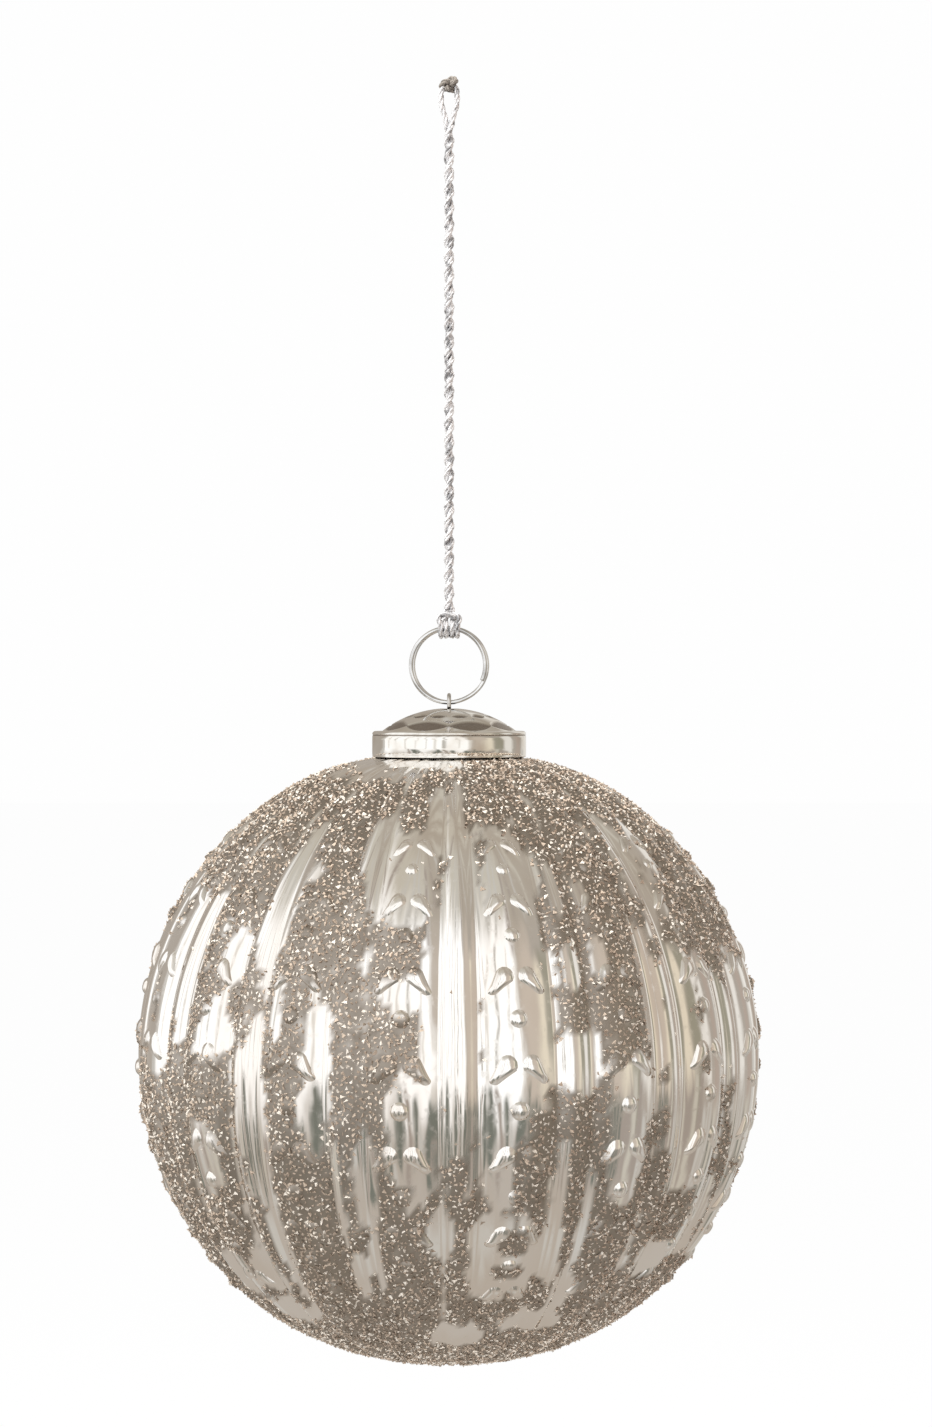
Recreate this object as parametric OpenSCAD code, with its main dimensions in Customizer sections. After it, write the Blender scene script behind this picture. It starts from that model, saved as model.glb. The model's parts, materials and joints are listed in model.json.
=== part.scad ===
// Glass ball ornament: a mould-blown silvered ball under a pressed cap, held by a
// spring-wire clip, a split ring and a doubled cord that is twisted and knotted.
// Millimetres, +Z up. The origin is inside the top of the cord loop, where a hook bears.

/* [Ball] */
// Diameter over the panel crowns
ball_d = 125.4; // [110:0.2:150]
// Number of wide panels, each with a narrow rib beside it
panel_n = 18; // [14:1:20]
// Width of a rib between its two grooves, in degrees round the ball
rib_angle = 6.2; // [5:0.1:8]
// Turn of the front rib from the front, in degrees
ball_turn = 2.2; // [-10:0.1:10]
// Depth of the grooves below the panel crowns, at the widest part
groove_depth = 1.5; // [0.6:0.1:2]
// How far the rib crowns lie below the panel crowns
rib_drop = 0.25; // [0:0.05:0.5]
// Thickness of the glass at the panel crowns
glass_wall = 2.6; // [2.2:0.1:3.5]
// Radius of the flatter curve over the shoulder
shoulder_bow = 103; // [90:1:120]
// How far the shoulder's curve lies below the full round at the axis
shoulder_drop = 2.3; // [1.5:0.1:4]
// Radius of the flatter curve under the ball
foot_bow = 75; // [70:1:85]
// How far the foot lies above the full round
foot_drop = 0.8; // [0.4:0.1:2]
// Thickness of the neck
neck_wall = 1.6; // [1.2:0.1:2.4]
// Width of the fillet where the shoulder meets the neck
neck_fillet = 1; // [0.5:0.1:1.5]

/* [Sprigs] */
// Number of sprigs up each panel, each of two drops over a bead
sprig_n = 7; // [1:1:7]
// Distance from one sprig up to the next, at the widest part
sprig_step = 16.5; // [14:0.1:17]
// Height of the middle sprig's drops above the widest part
sprig_lift = 4.2; // [0:0.1:8]
// How far the drops and beads stand out from the panel
sprig_rise = 0.75; // [0.4:0.05:1]
// Diameter of a bead
bead_d = 3; // [2:0.1:4]
// Distance from the middle of the drops down to their bead
bead_drop = 7; // [6:0.1:8]
// Distance from the panel's middle to the outer end of a drop
drop_reach = 5.3; // [4:0.1:5.4]
// Height of a drop from its tail to its head
drop_h = 5.7; // [4:0.1:7]
// Where a drop stands out most: distance from the panel's middle, and height above the drop's middle
drop_head = [2.5, 1.3]; // [1:0.1:3]

/* [Cap] */
// Diameter of the skirt
cap_d = 31; // [27:0.5:36]
// Height of the skirt
skirt_h = 5.2; // [4:0.1:7]
// Width of the flat ledge between skirt and dome
ledge_w = 2; // [1:0.1:3]
// Height of the dome above the ledge
dome_h = 4.6; // [3.6:0.1:6]
// Thickness of the pressed sheet
cap_t = 0.6; // [0.5:0.05:0.8]
// Number of embossed petals in the lower row
petal_n = 8; // [6:1:8]
// Length and width of a petal in the lower row
petal_size = [8.6, 2.3]; // [1:0.1:9]
// Distance of the lower row from the axis
petal_r = 11.7; // [11:0.1:12]
// Number of embossed petals in the upper row
upper_petal_n = 12; // [8:1:14]
// Length and width of a petal in the upper row
upper_petal_size = [2.8, 1.2]; // [0.5:0.1:4]
// Distance of the upper row from the axis
upper_petal_r = 8.2; // [7:0.1:9]
// Depth of the petals
petal_depth = 0.3; // [0.15:0.05:0.4]

/* [Clip and ring] */
// Diameter of the clip's wire
clip_wire = 0.8; // [0.6:0.05:1]
// Inside diameter of the clip's eye
eye_in_d = 2.2; // [2.1:0.1:2.8]
// Depth of the clip's throat below the middle of the eye
throat_h = 2.1; // [1.9:0.1:2.6]
// Depth of the clip's knees below the rim of the neck
knee_drop = 2.4; // [1.5:0.1:4]
// Length of the clip's legs below their knees
leg_l = 8; // [5:0.5:12]
// How far the ends of the legs lean back in
leg_lean = 1.6; // [0.5:0.1:3]
// Outside diameter of the split ring
ring_d = 15.8; // [13:0.1:20]
// Diameter of the split ring's wire
ring_wire = 0.85; // [0.6:0.05:0.9]
// Angle where the ring's first turn starts, from the right
ring_start = -24; // [-30:1:-20]
// Angle over which the wire crosses from one turn to the next
ring_cross = 58; // [50:1:60]

/* [Cord] */
// Diameter of one strand
cord_d = 1.1; // [0.9:0.05:1.3]
// Diameter over the twisted pair
twist_d = 2.2; // [1.8:0.05:2.6]
// Length of the twisted pair
twist_l = 97.8; // [60:1:150]
// Height from the ring's wire to the top of the hitch
hitch_h = 3.8; // [3.6:0.1:5]
// Width of the bight across the hitch
bight_w = 5.2; // [3:0.1:6]
// Height of the knot above the loop
knot_h = 3.2; // [2.6:0.1:4]
// Diameter of the knot
knot_d = 4.4; // [4.3:0.1:5]

/* [Fits] */
// Gap between skirt and neck, all round
neck_gap = 0.6; // [0.3:0.1:1]
// Gap between the skirt's lower edge and the glass
skirt_gap = 0.2; // [0.1:0.05:0.4]
// Gap between the clip's knees and the neck
knee_gap = 0.3; // [0.2:0.05:0.5]
// Gap between the clip's two legs at the throat
throat_gap = 0.08; // [0.04:0.02:0.2]
// Gap between the clip's eye and the hole in the dome
hole_gap = 0.25; // [0.2:0.05:0.4]
// Gap between the hitch and the ring's wire
hitch_gap = 0.25; // [0.2:0.05:0.4]
// Gap between the ring laid over and the dome
ring_lift = 0.3; // [0.2:0.05:0.6]
// Gap between the two turns of the split ring
turn_gap = 0.04; // [0.02:0.01:0.1]

/* [Hidden] */
$fn = 72;
fine_fn = 256;
cut_over = 1;

// Strand of the cord loop, as offset from the axis and height, mirrored for the other strand
loop_path = [
    [0.55, -6.7], [0.55, -6.2], [0.8, -5.2], [1.2, -4], [1.55, -2.8], [1.65, -1.6], [1.6, -0.5], [1.6, 0]
];
cord_sides = 8;
wire_sides = 8;

// Heights, from the loop down to the ball
twist_top_z = loop_path[0][1];
hitch_top_z = twist_top_z - twist_l;
ring_r = (ring_d - ring_wire) / 2;
ring_top_z = hitch_top_z - hitch_h;
ring_z = ring_top_z - ring_r;
eye_z = ring_z - ring_r;
turn_pitch = ring_wire + turn_gap;
ring_reach = (turn_pitch + ring_wire) / 2;
dome_top_z = eye_z - ring_reach - ring_lift;
ledge_z = dome_top_z - dome_h;
rim_z = ledge_z - cap_t;
skirt_z = ledge_z - skirt_h;

// Ball, with its shoulder and foot as heights over a distance from the axis
ball_r = ball_d / 2;
function shoulder_z(r) = ball_r - shoulder_drop - shoulder_bow + sqrt(pow(shoulder_bow, 2) - pow(r, 2));
function foot_z(r) = -ball_r + foot_drop + foot_bow - sqrt(pow(foot_bow, 2) - pow(r, 2));
ball_z = skirt_z - skirt_gap - shoulder_z(cap_d / 2);
neck_r = cap_d / 2 - cap_t - neck_gap;
bore_r = neck_r - neck_wall;
pitch_angle = 360 / panel_n;
panel_half = (pitch_angle - rib_angle) / 2;
rib_half = rib_angle / 2;
front_panel = ball_turn - 90 + pitch_angle / 2;

// Sprigs keep their shape up the panel: they shrink with it, and so do their steps
function across_angle(d) = d / ball_r * 180 / PI;
function climb_lat(d) = 2 * atan(exp(d / ball_r)) - 90;
function sprig_climb(i) = sprig_lift + (i - (sprig_n - 1) / 2) * sprig_step;

// Columns of one panel and its rib: the grooves, the drops' outer ends and the bead's sides
rib_steps = 3;
bead_side = across_angle(bead_d / 2);
drop_side = across_angle(drop_reach);
column_angles = concat(
    [-panel_half, -drop_side, -bead_side, bead_side, drop_side],
    [for (k = [0 : rib_steps - 1]) panel_half + rib_angle * k / rib_steps]
);
column_n = len(column_angles);

// Rows from the foot to the neck: plain ones, then four for each sprig, then plain ones
row_step = 8;
foot_lat = -84;
neck_lat = acos((neck_r + neck_fillet) / ball_r);
sprig_edges = [-bead_drop - bead_d / 2, -bead_drop + bead_d / 2, -drop_h / 2, drop_h / 2];
sprig_row_n = len(sprig_edges);
sprig_rows = [for (i = [0 : sprig_n - 1], d = sprig_edges) climb_lat(sprig_climb(i) + d)];
sprig_top_lat = sprig_rows[len(sprig_rows) - 1];
lower_rows = [for (lat = [foot_lat : row_step : sprig_rows[0] - row_step / 2]) lat];
upper_rows = [for (lat = [sprig_top_lat + row_step : row_step : neck_lat - row_step / 2]) lat];
rows = concat(lower_rows, sprig_rows, upper_rows, [neck_lat]);

// Depth below the crown at an angle from the panel's middle, at the widest part
function relief(a) = abs(a) <= panel_half
    ? groove_depth * pow(a / panel_half, 2)
    : rib_drop + (groove_depth - rib_drop) * pow((abs(a) - panel_half - rib_half) / rib_half, 2);

// The grooves run out towards the poles
function fade(lat) = cos(lat) * min(1, (neck_lat - lat) / row_step);

// Distance from the axis and height of the full round, flattened at the foot and the shoulder
function round_at(lat) = let (r = ball_r * cos(lat), z = ball_r * sin(lat))
    [r, max(foot_z(r), min(shoulder_z(r), z))];

function skin_point(lat, a) = round_at(lat) - relief(a) * fade(lat) * [cos(lat), sin(lat)];

// A sprig's bead and its left and right drop, each as angle from the panel's middle and latitude
function sprig_spots(i) = concat(
    [[0, climb_lat(sprig_climb(i) - bead_drop)]],
    [for (s = [-1, 1]) [s * across_angle(drop_head[0]), climb_lat(sprig_climb(i) + drop_head[1])]]
);
function sprig_point(spot) = skin_point(spot[1], spot[0])
    + sprig_rise * cos(spot[1]) * [cos(spot[1]), sin(spot[1])];

// Row within a sprig and column within a panel of the cells that the bead and the two drops stand in
spot_cells = [[0, 2], [2, 1], [2, 3]];
spot_n = len(spot_cells);

// Which of them stands in the cell above a row and beside a column, as a list of none or one
function spots_in(row, column) = let (k = row - len(lower_rows))
    [for (j = [0 : spot_n - 1])
        if (k >= 0 && k < len(sprig_rows) && [k % sprig_row_n, column] == spot_cells[j]) j];

function turn_about(p, angle) = [p[0] * cos(angle), p[0] * sin(angle), p[1]];

// Clip, in the plane across the ring, as one half from the leg's end to the throat
eye_r = (eye_in_d + clip_wire) / 2;
throat_y = (clip_wire + throat_gap) / 2;
eye_start = acos(throat_y / eye_r);
knee_y = bore_r - knee_gap - clip_wire / 2;
knee_z = rim_z - knee_drop;
hole_r = sqrt(pow(eye_r + clip_wire / 2, 2) - pow(eye_z - dome_top_z, 2)) + hole_gap;
eye_steps = 20;
clip_leg = [
    [knee_y - leg_lean, knee_z - leg_l],
    [knee_y - leg_lean / 4, knee_z - leg_l / 2],
    [knee_y, knee_z],
    [knee_y - clip_wire, knee_z + clip_wire],
    [throat_y + clip_wire / 2, eye_z - throat_h - clip_wire * 1.5],
    [throat_y, eye_z - throat_h]
];
clip_path = concat(
    [for (p = clip_leg) [0, p[0], p[1]]],
    [for (k = [0 : eye_steps]) let (a = -eye_start + (180 + 2 * eye_start) * k / eye_steps)
        [0, eye_r * cos(a), eye_z + eye_r * sin(a)]],
    [for (i = [len(clip_leg) - 1 : -1 : 0]) [0, -clip_leg[i][0], clip_leg[i][1]]]
);

// Split ring: one turn, the crossing, then a second turn beside the first
ring_turn = 360 - ring_cross;
ring_step = 6;
function turn_side(a) = let (t = min(1, max(0, (a - ring_turn) / ring_cross)))
    turn_pitch * (t * t * (3 - 2 * t) - 0.5);
ring_path = [for (a = [0 : ring_step : 360 + ring_turn])
    [ring_r * cos(ring_start + a), turn_side(a), ring_z + ring_r * sin(ring_start + a)]];

// Hitch and knot
wrap_r = ring_reach + hitch_gap + cord_d / 2;
wrap_x = cord_d * 0.48;
bight_r = wrap_r + cord_d / 2;
bight_angle = 30;
knot_tilt = 18;

function unit(v) = v / norm(v);
function along(path, i) = unit(path[min(i + 1, len(path) - 1)] - path[max(i - 1, 0)]);
function ring_at(path, i, r, across, sides) = let (
    t = along(path, i),
    u = unit(across - (across * t) * t),
    v = cross(t, u)
) [for (k = [0 : sides - 1]) path[i] + r * (cos(360 * k / sides) * u + sin(360 * k / sides) * v)];

// Faces of a closed skin of rows, each of n points
function skin_faces(row_n, n) = concat(
    [[for (k = [0 : n - 1]) k]],
    [for (i = [0 : row_n - 2], k = [0 : n - 1]) let (a = i * n + k, b = i * n + (k + 1) % n)
        [a, a + n, b + n, b]],
    [[for (k = [n - 1 : -1 : 0]) (row_n - 1) * n + k]]
);

// Round wire or cord swept along a path that lies square to the direction across
module wire(path, d, across, sides) {
    polyhedron(
        [for (i = [0 : len(path) - 1]) each ring_at(path, i, d / 2, across, sides)],
        skin_faces(len(path), sides),
        convexity = 8
    );
}

// Upright prism over an almond that lies along Y
module petal(size) {
    bow = (pow(size[0] / 2, 2) + pow(size[1] / 2, 2)) / size[1];
    side = bow - size[1] / 2;
    intersection() {
        translate([side, 0, 0]) cylinder(r = bow, h = cut_over);
        translate([-side, 0, 0]) cylinder(r = bow, h = cut_over);
    }
}

// Row of petals sunk into the dome, with two of them meeting at the front
module petal_row(n, r, size, bow, bow_z) {
    for (i = [0 : n - 1])
        translate([0, 0, bow_z]) rotate([0, asin(r / bow), (i + 0.5) * 360 / n - 90])
            translate([0, 0, bow - petal_depth]) petal(size);
}

// Outside of the ball and its neck, without the hollow: rows of points, then a point for each bead and drop
module ball_skin() {
    columns = [for (i = [0 : panel_n - 1], a = column_angles) [front_panel + i * pitch_angle + a, a]];
    levels = concat(
        [for (lat = rows) [for (c = columns) turn_about(skin_point(lat, c[1]), c[0])]],
        [for (z = [shoulder_z(neck_r), rim_z - ball_z]) [for (c = columns) turn_about([neck_r, z], c[0])]]
    );
    spots = [for (p = [0 : panel_n - 1], i = [0 : sprig_n - 1], spot = sprig_spots(i))
        turn_about(sprig_point(spot), front_panel + p * pitch_angle + spot[0])];
    n = len(columns);
    grid_n = len(levels) * n;
    cells = [for (row = [0 : len(levels) - 2], k = [0 : n - 1]) let (
        a = row * n + k,
        b = row * n + (k + 1) % n,
        found = spots_in(row, k % column_n),
        sprig = floor(k / column_n) * sprig_n + floor((row - len(lower_rows)) / sprig_row_n)
    ) each len(found) == 0 ? [[a, a + n, b + n, b]]
        : let (tip = grid_n + sprig * spot_n + found[0])
            [[a, a + n, tip], [a + n, b + n, tip], [b + n, b, tip], [b, a, tip]]];
    polyhedron(
        concat([for (level = levels) each level], spots),
        concat([[for (k = [0 : n - 1]) k]], cells, [[for (k = [n - 1 : -1 : 0]) grid_n - n + k]]),
        convexity = 6
    );
}

module glass_ball() {
    hollow_r = ball_r - glass_wall;
    hollow_top = shoulder_z(neck_r) - glass_wall;
    color("silver") translate([0, 0, ball_z]) difference() {
        ball_skin();
        intersection() {
            sphere(hollow_r, $fn = fine_fn);
            translate([0, 0, hollow_top - ball_d]) cylinder(r = ball_r, h = ball_d);
        }
        translate([0, 0, hollow_top - glass_wall]) cylinder(r = bore_r, h = ball_r);
    }
}

module cap() {
    dome_r = cap_d / 2 - ledge_w;
    bow = (pow(dome_r, 2) + pow(dome_h, 2)) / (2 * dome_h);
    bow_z = dome_top_z - bow;
    color("gainsboro") difference() {
        union() {
            intersection() {
                translate([0, 0, bow_z]) sphere(bow);
                translate([0, 0, ledge_z - cap_t / 2]) cylinder(r = dome_r + cap_t, h = dome_h * 2);
            }
            translate([0, 0, skirt_z]) cylinder(d = cap_d, h = skirt_h);
        }
        translate([0, 0, skirt_z - cut_over]) cylinder(d = cap_d - 2 * cap_t, h = skirt_h - cap_t + cut_over);
        intersection() {
            translate([0, 0, bow_z]) sphere(bow - cap_t);
            translate([0, 0, rim_z - cap_t]) cylinder(r = bore_r, h = dome_h * 2);
        }
        translate([0, 0, ledge_z]) cylinder(r = hole_r, h = dome_h * 2);
        petal_row(petal_n, petal_r, petal_size, bow, bow_z);
        petal_row(upper_petal_n, upper_petal_r, upper_petal_size, bow, bow_z);
    }
}

module clip() {
    color("silver") wire(clip_path, clip_wire, [1, 0, 0], wire_sides);
}

module split_ring() {
    color("silver") wire(ring_path, ring_wire, [0, 1, 0], wire_sides);
}

// Two wraps round the ring, the bight across them, and the two strands leaving together
module cord_hitch() {
    color("whitesmoke") translate([0, 0, ring_top_z]) {
        for (s = [-1, 1]) translate([s * wrap_x, 0, 0])
            rotate([0, 90, 0]) rotate_extrude() translate([wrap_r, 0]) circle(d = cord_d);
        rotate([bight_angle, 0, 0]) translate([0, 0, bight_r])
            rotate([0, 90, 0]) cylinder(d = cord_d, h = bight_w, center = true);
        translate([0, 0, wrap_r]) cylinder(d = twist_d, h = hitch_h - wrap_r);
    }
}

module cord_twist() {
    ring_n = ceil(twist_l / (2.5 * twist_d));
    color("whitesmoke") wire(
        [for (i = [0 : ring_n]) [0, 0, hitch_top_z + twist_l * i / ring_n]], twist_d, [0, 1, 0], cord_sides
    );
}

module cord_loop() {
    color("whitesmoke") for (s = [-1, 1])
        wire([for (p = loop_path) [s * p[0], 0, p[1]]], cord_d, [0, 1, 0], cord_sides);
}

// Overhand knot, as two crossed turns over a round core
module cord_knot() {
    turn_r = knot_d / 2 - cord_d;
    color("lightgray") {
        cylinder(d = knot_d, h = knot_h / 3);
        for (tilt = [-knot_tilt, knot_tilt]) translate([0, 0, knot_h / 2]) rotate([0, tilt, 0])
            rotate_extrude() translate([turn_r, 0]) circle(d = cord_d);
        translate([0, 0, knot_h / 3]) cylinder(d = twist_d, h = knot_h * 2 / 3);
    }
}

glass_ball();
cap();
clip();
split_ring();
cord_hitch();
cord_twist();
cord_loop();
cord_knot();
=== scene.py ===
"""Dresses a glass ball ornament: fluted silvered ball, grain coat, pressed cap, split ring and twisted cord.

Sizes are in millimetres, as a maker would give them, and become metres when a mesh is made.
"""

import json
import logging
import math
from dataclasses import dataclass
from enum import Enum
from typing import Callable, Mapping, Optional, Sequence, Union

import bpy
import numpy as np
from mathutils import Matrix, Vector, noise

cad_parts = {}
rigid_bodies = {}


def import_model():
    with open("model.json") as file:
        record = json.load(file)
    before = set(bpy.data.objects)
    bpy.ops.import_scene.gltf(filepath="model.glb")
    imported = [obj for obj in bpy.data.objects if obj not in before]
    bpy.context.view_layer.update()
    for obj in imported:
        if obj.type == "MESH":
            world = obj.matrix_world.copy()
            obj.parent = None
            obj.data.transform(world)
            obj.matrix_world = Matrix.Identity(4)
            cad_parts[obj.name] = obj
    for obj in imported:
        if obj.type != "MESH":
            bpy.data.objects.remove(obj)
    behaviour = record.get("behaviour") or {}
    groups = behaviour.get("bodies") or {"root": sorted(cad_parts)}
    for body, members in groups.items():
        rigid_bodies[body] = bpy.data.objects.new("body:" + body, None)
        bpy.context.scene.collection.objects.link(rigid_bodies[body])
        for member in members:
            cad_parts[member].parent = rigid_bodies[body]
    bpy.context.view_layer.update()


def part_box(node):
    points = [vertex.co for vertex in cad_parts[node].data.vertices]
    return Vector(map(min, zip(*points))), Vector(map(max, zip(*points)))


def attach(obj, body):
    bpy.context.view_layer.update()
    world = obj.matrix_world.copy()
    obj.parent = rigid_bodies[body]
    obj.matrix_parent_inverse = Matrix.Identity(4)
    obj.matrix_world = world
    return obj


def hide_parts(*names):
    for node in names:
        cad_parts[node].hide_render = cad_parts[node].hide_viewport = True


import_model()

LOG = logging.getLogger("ornament")
MM = 0.001
NOISE_FADE = 1.0
NOISE_STEP = 2.0
Pair = tuple[float, float]
Triple = tuple[float, float, float]
Colour = tuple[float, float, float]
Key = Union[int, str]


class Body(Enum):
    """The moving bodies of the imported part."""

    CORD = "cord"
    RING = "ring"
    CLIP = "clip"
    BALL = "ball"


class Slot(Enum):
    """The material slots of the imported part."""

    GLASS = "silvered_glass"
    CAP = "plated_cap"
    WIRE = "spring_wire"
    RING = "plated_ring"
    CORD = "metallic_cord"
    KNOT = "knotted_cord"


class Cover(Enum):
    """What a patch of the ball's coat does to the glass under it."""

    GRAINS = 0.7
    SPARSE = -0.1
    BARE = -0.7


# Node trees


def arithmetic(operation: str, reflected: bool = False) -> Callable[["Term", "Value"], "Term"]:
    """Makes an operator of Term that adds a Math node.

    Args:
        operation: what the node does.
        reflected: whether the Term is the second of the two values.

    Returns:
        The operator's method.
    """
    def method(term: "Term", other: "Value") -> "Term":
        """Adds the node."""
        return term.tree.math(operation, *((other, term) if reflected else (term, other)))

    return method


class Term:
    """A socket of a node tree that takes part in Python arithmetic."""

    def __init__(self, tree: "Tree", socket: bpy.types.NodeSocket) -> None:
        """Wraps one socket of a tree."""
        self.tree = tree
        self.socket = socket

    __add__ = arithmetic("ADD")
    __radd__ = arithmetic("ADD", reflected=True)
    __sub__ = arithmetic("SUBTRACT")
    __rsub__ = arithmetic("SUBTRACT", reflected=True)
    __mul__ = arithmetic("MULTIPLY")
    __rmul__ = arithmetic("MULTIPLY", reflected=True)
    __truediv__ = arithmetic("DIVIDE")
    __rtruediv__ = arithmetic("DIVIDE", reflected=True)

    def __abs__(self) -> "Term":
        """Size without its sign."""
        return self.tree.math("ABSOLUTE", self)


Value = Union[Term, float, str, Sequence[float], bpy.types.ID]
Sockets = Mapping[Key, Value]


class Tree:
    """A node tree that is filled through one generic method."""

    def __init__(self, data: bpy.types.NodeTree) -> None:
        """Wraps a shader or geometry tree."""
        self.data = data

    @staticmethod
    def find(sockets: bpy.types.bpy_prop_collection, key: Key) -> bpy.types.NodeSocket:
        """Finds a socket.

        Args:
            sockets: a node's inputs or outputs.
            key: a place in the list, an identifier or a name.

        Returns:
            The socket that the key stands for.
        """
        if isinstance(key, int):
            return sockets[key]
        for socket in sockets:
            if socket.identifier == key:
                return socket
        return next(socket for socket in sockets if socket.name == key and socket.enabled)

    def node(self, kind: str, sockets: Optional[Sockets] = None, **settings: object) -> bpy.types.Node:
        """Adds a node.

        Args:
            kind: the node's type.
            sockets: a value or a Term for each input that is used.
            settings: its properties, which are set first.

        Returns:
            The new node.
        """
        node = self.data.nodes.new(kind)
        for name, value in settings.items():
            setattr(node, name, value)
        for key, value in (sockets or {}).items():
            socket = self.find(node.inputs, key)
            if isinstance(value, Term):
                self.data.links.new(value.socket, socket)
            else:
                socket.default_value = value
        return node

    def out(self, node: bpy.types.Node, key: Key = 0) -> Term:
        """Wraps one output of a node."""
        return Term(self, self.find(node.outputs, key))

    def get(self, kind: str, sockets: Optional[Sockets] = None, key: Key = 0, **settings: object) -> Term:
        """Adds a node and wraps one of its outputs."""
        return self.out(self.node(kind, sockets, **settings), key)

    def math(self, operation: str, *values: Value) -> Term:
        """Adds a Math node on values."""
        return self.get("ShaderNodeMath", dict(enumerate(values)), operation=operation)

    def vector(self, operation: str, *values: Value) -> Term:
        """Adds a Vector Math node that gives a vector."""
        return self.get("ShaderNodeVectorMath", dict(enumerate(values)), operation=operation)

    def scaled(self, vector: Value, factor: Value) -> Term:
        """A vector times a number."""
        return self.get("ShaderNodeVectorMath", {0: vector, "Scale": factor}, operation="SCALE")

    def combine(self, x: Value, y: Value, z: Value) -> Term:
        """A vector of three numbers."""
        return self.get("ShaderNodeCombineXYZ", {0: x, 1: y, 2: z})

    def split(self, vector: Value) -> tuple[Term, Term, Term]:
        """The three numbers of a vector."""
        node = self.node("ShaderNodeSeparateXYZ", {0: vector})
        return self.out(node, 0), self.out(node, 1), self.out(node, 2)

    def smooth(self, value: Value, low: float, high: float) -> Term:
        """A smooth step from 0 at low to 1 at high."""
        sockets = {"Value": value, "From Min": low, "From Max": high}
        return self.get("ShaderNodeMapRange", sockets, interpolation_type="SMOOTHSTEP")

    def mix(self, factor: Value, first: Value, second: Value) -> Term:
        """A colour between two colours."""
        sockets = {"Factor_Float": factor, "A_Color": self.rgba(first), "B_Color": self.rgba(second)}
        return self.get("ShaderNodeMix", sockets, "Result_Color", data_type="RGBA")

    @staticmethod
    def rgba(colour: Value) -> Value:
        """Adds the fourth number that a colour socket takes."""
        return colour if isinstance(colour, Term) else (*colour, 1.0)


def bare_tree(owner: Union[bpy.types.World, bpy.types.Material]) -> Tree:
    """The emptied node tree of a new world or material."""
    owner.use_nodes = True
    owner.node_tree.nodes.clear()
    return Tree(owner.node_tree)


class GeometryTree(Tree):
    """A Geometry Nodes tree with named inputs, which ends as a plain mesh."""

    def __init__(self, name: str, **inputs: str) -> None:
        """Starts a tree.

        Args:
            name: the tree's name.
            inputs: the names of its inputs, for each kind of socket.
        """
        super().__init__(bpy.data.node_groups.new(name, "GeometryNodeTree"))
        face = self.data.interface
        face.new_socket(name="Geometry", in_out="INPUT", socket_type="NodeSocketGeometry")
        self.ids = {
            label: face.new_socket(name=label, in_out="INPUT", socket_type=f"NodeSocket{kind}").identifier
            for kind, labels in {**inputs, "Material": "Material"}.items()
            for label in labels.split(", ")
        }
        face.new_socket(name="Geometry", in_out="OUTPUT", socket_type="NodeSocketGeometry")
        self.entry = self.node("NodeGroupInput")

    def given(self, label: str) -> Term:
        """One of the tree's inputs."""
        return self.out(self.entry, label)

    def shape(self, label: str) -> Term:
        """The mesh of an object that is one of the tree's inputs."""
        return self.get("GeometryNodeObjectInfo", {"Object": self.given(label)}, "Geometry")

    def attribute(self, name: str) -> Term:
        """A number that the mesh holds at each point."""
        return self.get("GeometryNodeInputNamedAttribute", {"Name": name}, "Attribute")

    def position(self) -> Term:
        """Where each point is."""
        return self.get("GeometryNodeInputPosition")

    def moved(self, geometry: Term, how: str, vector: Term) -> Term:
        """Geometry whose points go to a Position or by an Offset."""
        return self.get("GeometryNodeSetPosition", {"Geometry": geometry, how: vector})

    def stored(self, geometry: Term, name: str, number: Term) -> Term:
        """Geometry that holds one more number at each point."""
        sockets = {"Geometry": geometry, "Name": name, "Value": number}
        return self.get("GeometryNodeStoreNamedAttribute", sockets, data_type="FLOAT", domain="POINT")

    def strewn(self, points: Term, shape: Term, rotation: Term, size: Term) -> Term:
        """A shape at each point, turned and sized."""
        scale = self.combine(size, size, size)
        sockets = {"Points": points, "Instance": shape, "Rotation": rotation, "Scale": scale}
        return self.get("GeometryNodeInstanceOnPoints", sockets)

    def real(self, geometry: Term) -> Term:
        """Geometry with its instances made into meshes."""
        return self.get("GeometryNodeRealizeInstances", {"Geometry": geometry})

    def end(self, geometry: Term) -> None:
        """Closes the tree with real meshes and their material."""
        sockets = {"Geometry": self.real(geometry), "Material": self.given("Material")}
        self.node("NodeGroupOutput", {"Geometry": self.get("GeometryNodeSetMaterial", sockets)})

    def grow(self, host: bpy.types.Object, name: str, values: Mapping[str, object]) -> bpy.types.Object:
        """Runs the tree on a host, which it uses up.

        Args:
            host: the object that carries the tree.
            name: the new piece's name.
            values: what each input holds.

        Returns:
            A new object with the result as a plain mesh.
        """
        modifier = host.modifiers.new(name, "NODES")
        modifier.node_group = self.data
        for label, value in values.items():
            modifier[self.ids[label]] = value
        graph = bpy.context.evaluated_depsgraph_get()
        mesh = bpy.data.meshes.new_from_object(
            host.evaluated_get(graph), preserve_all_data_layers=True, depsgraph=graph
        )
        host.modifiers.remove(modifier)
        bpy.data.objects.remove(host)
        mesh.name = name
        return new_object(name, mesh)


# Meshes


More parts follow.
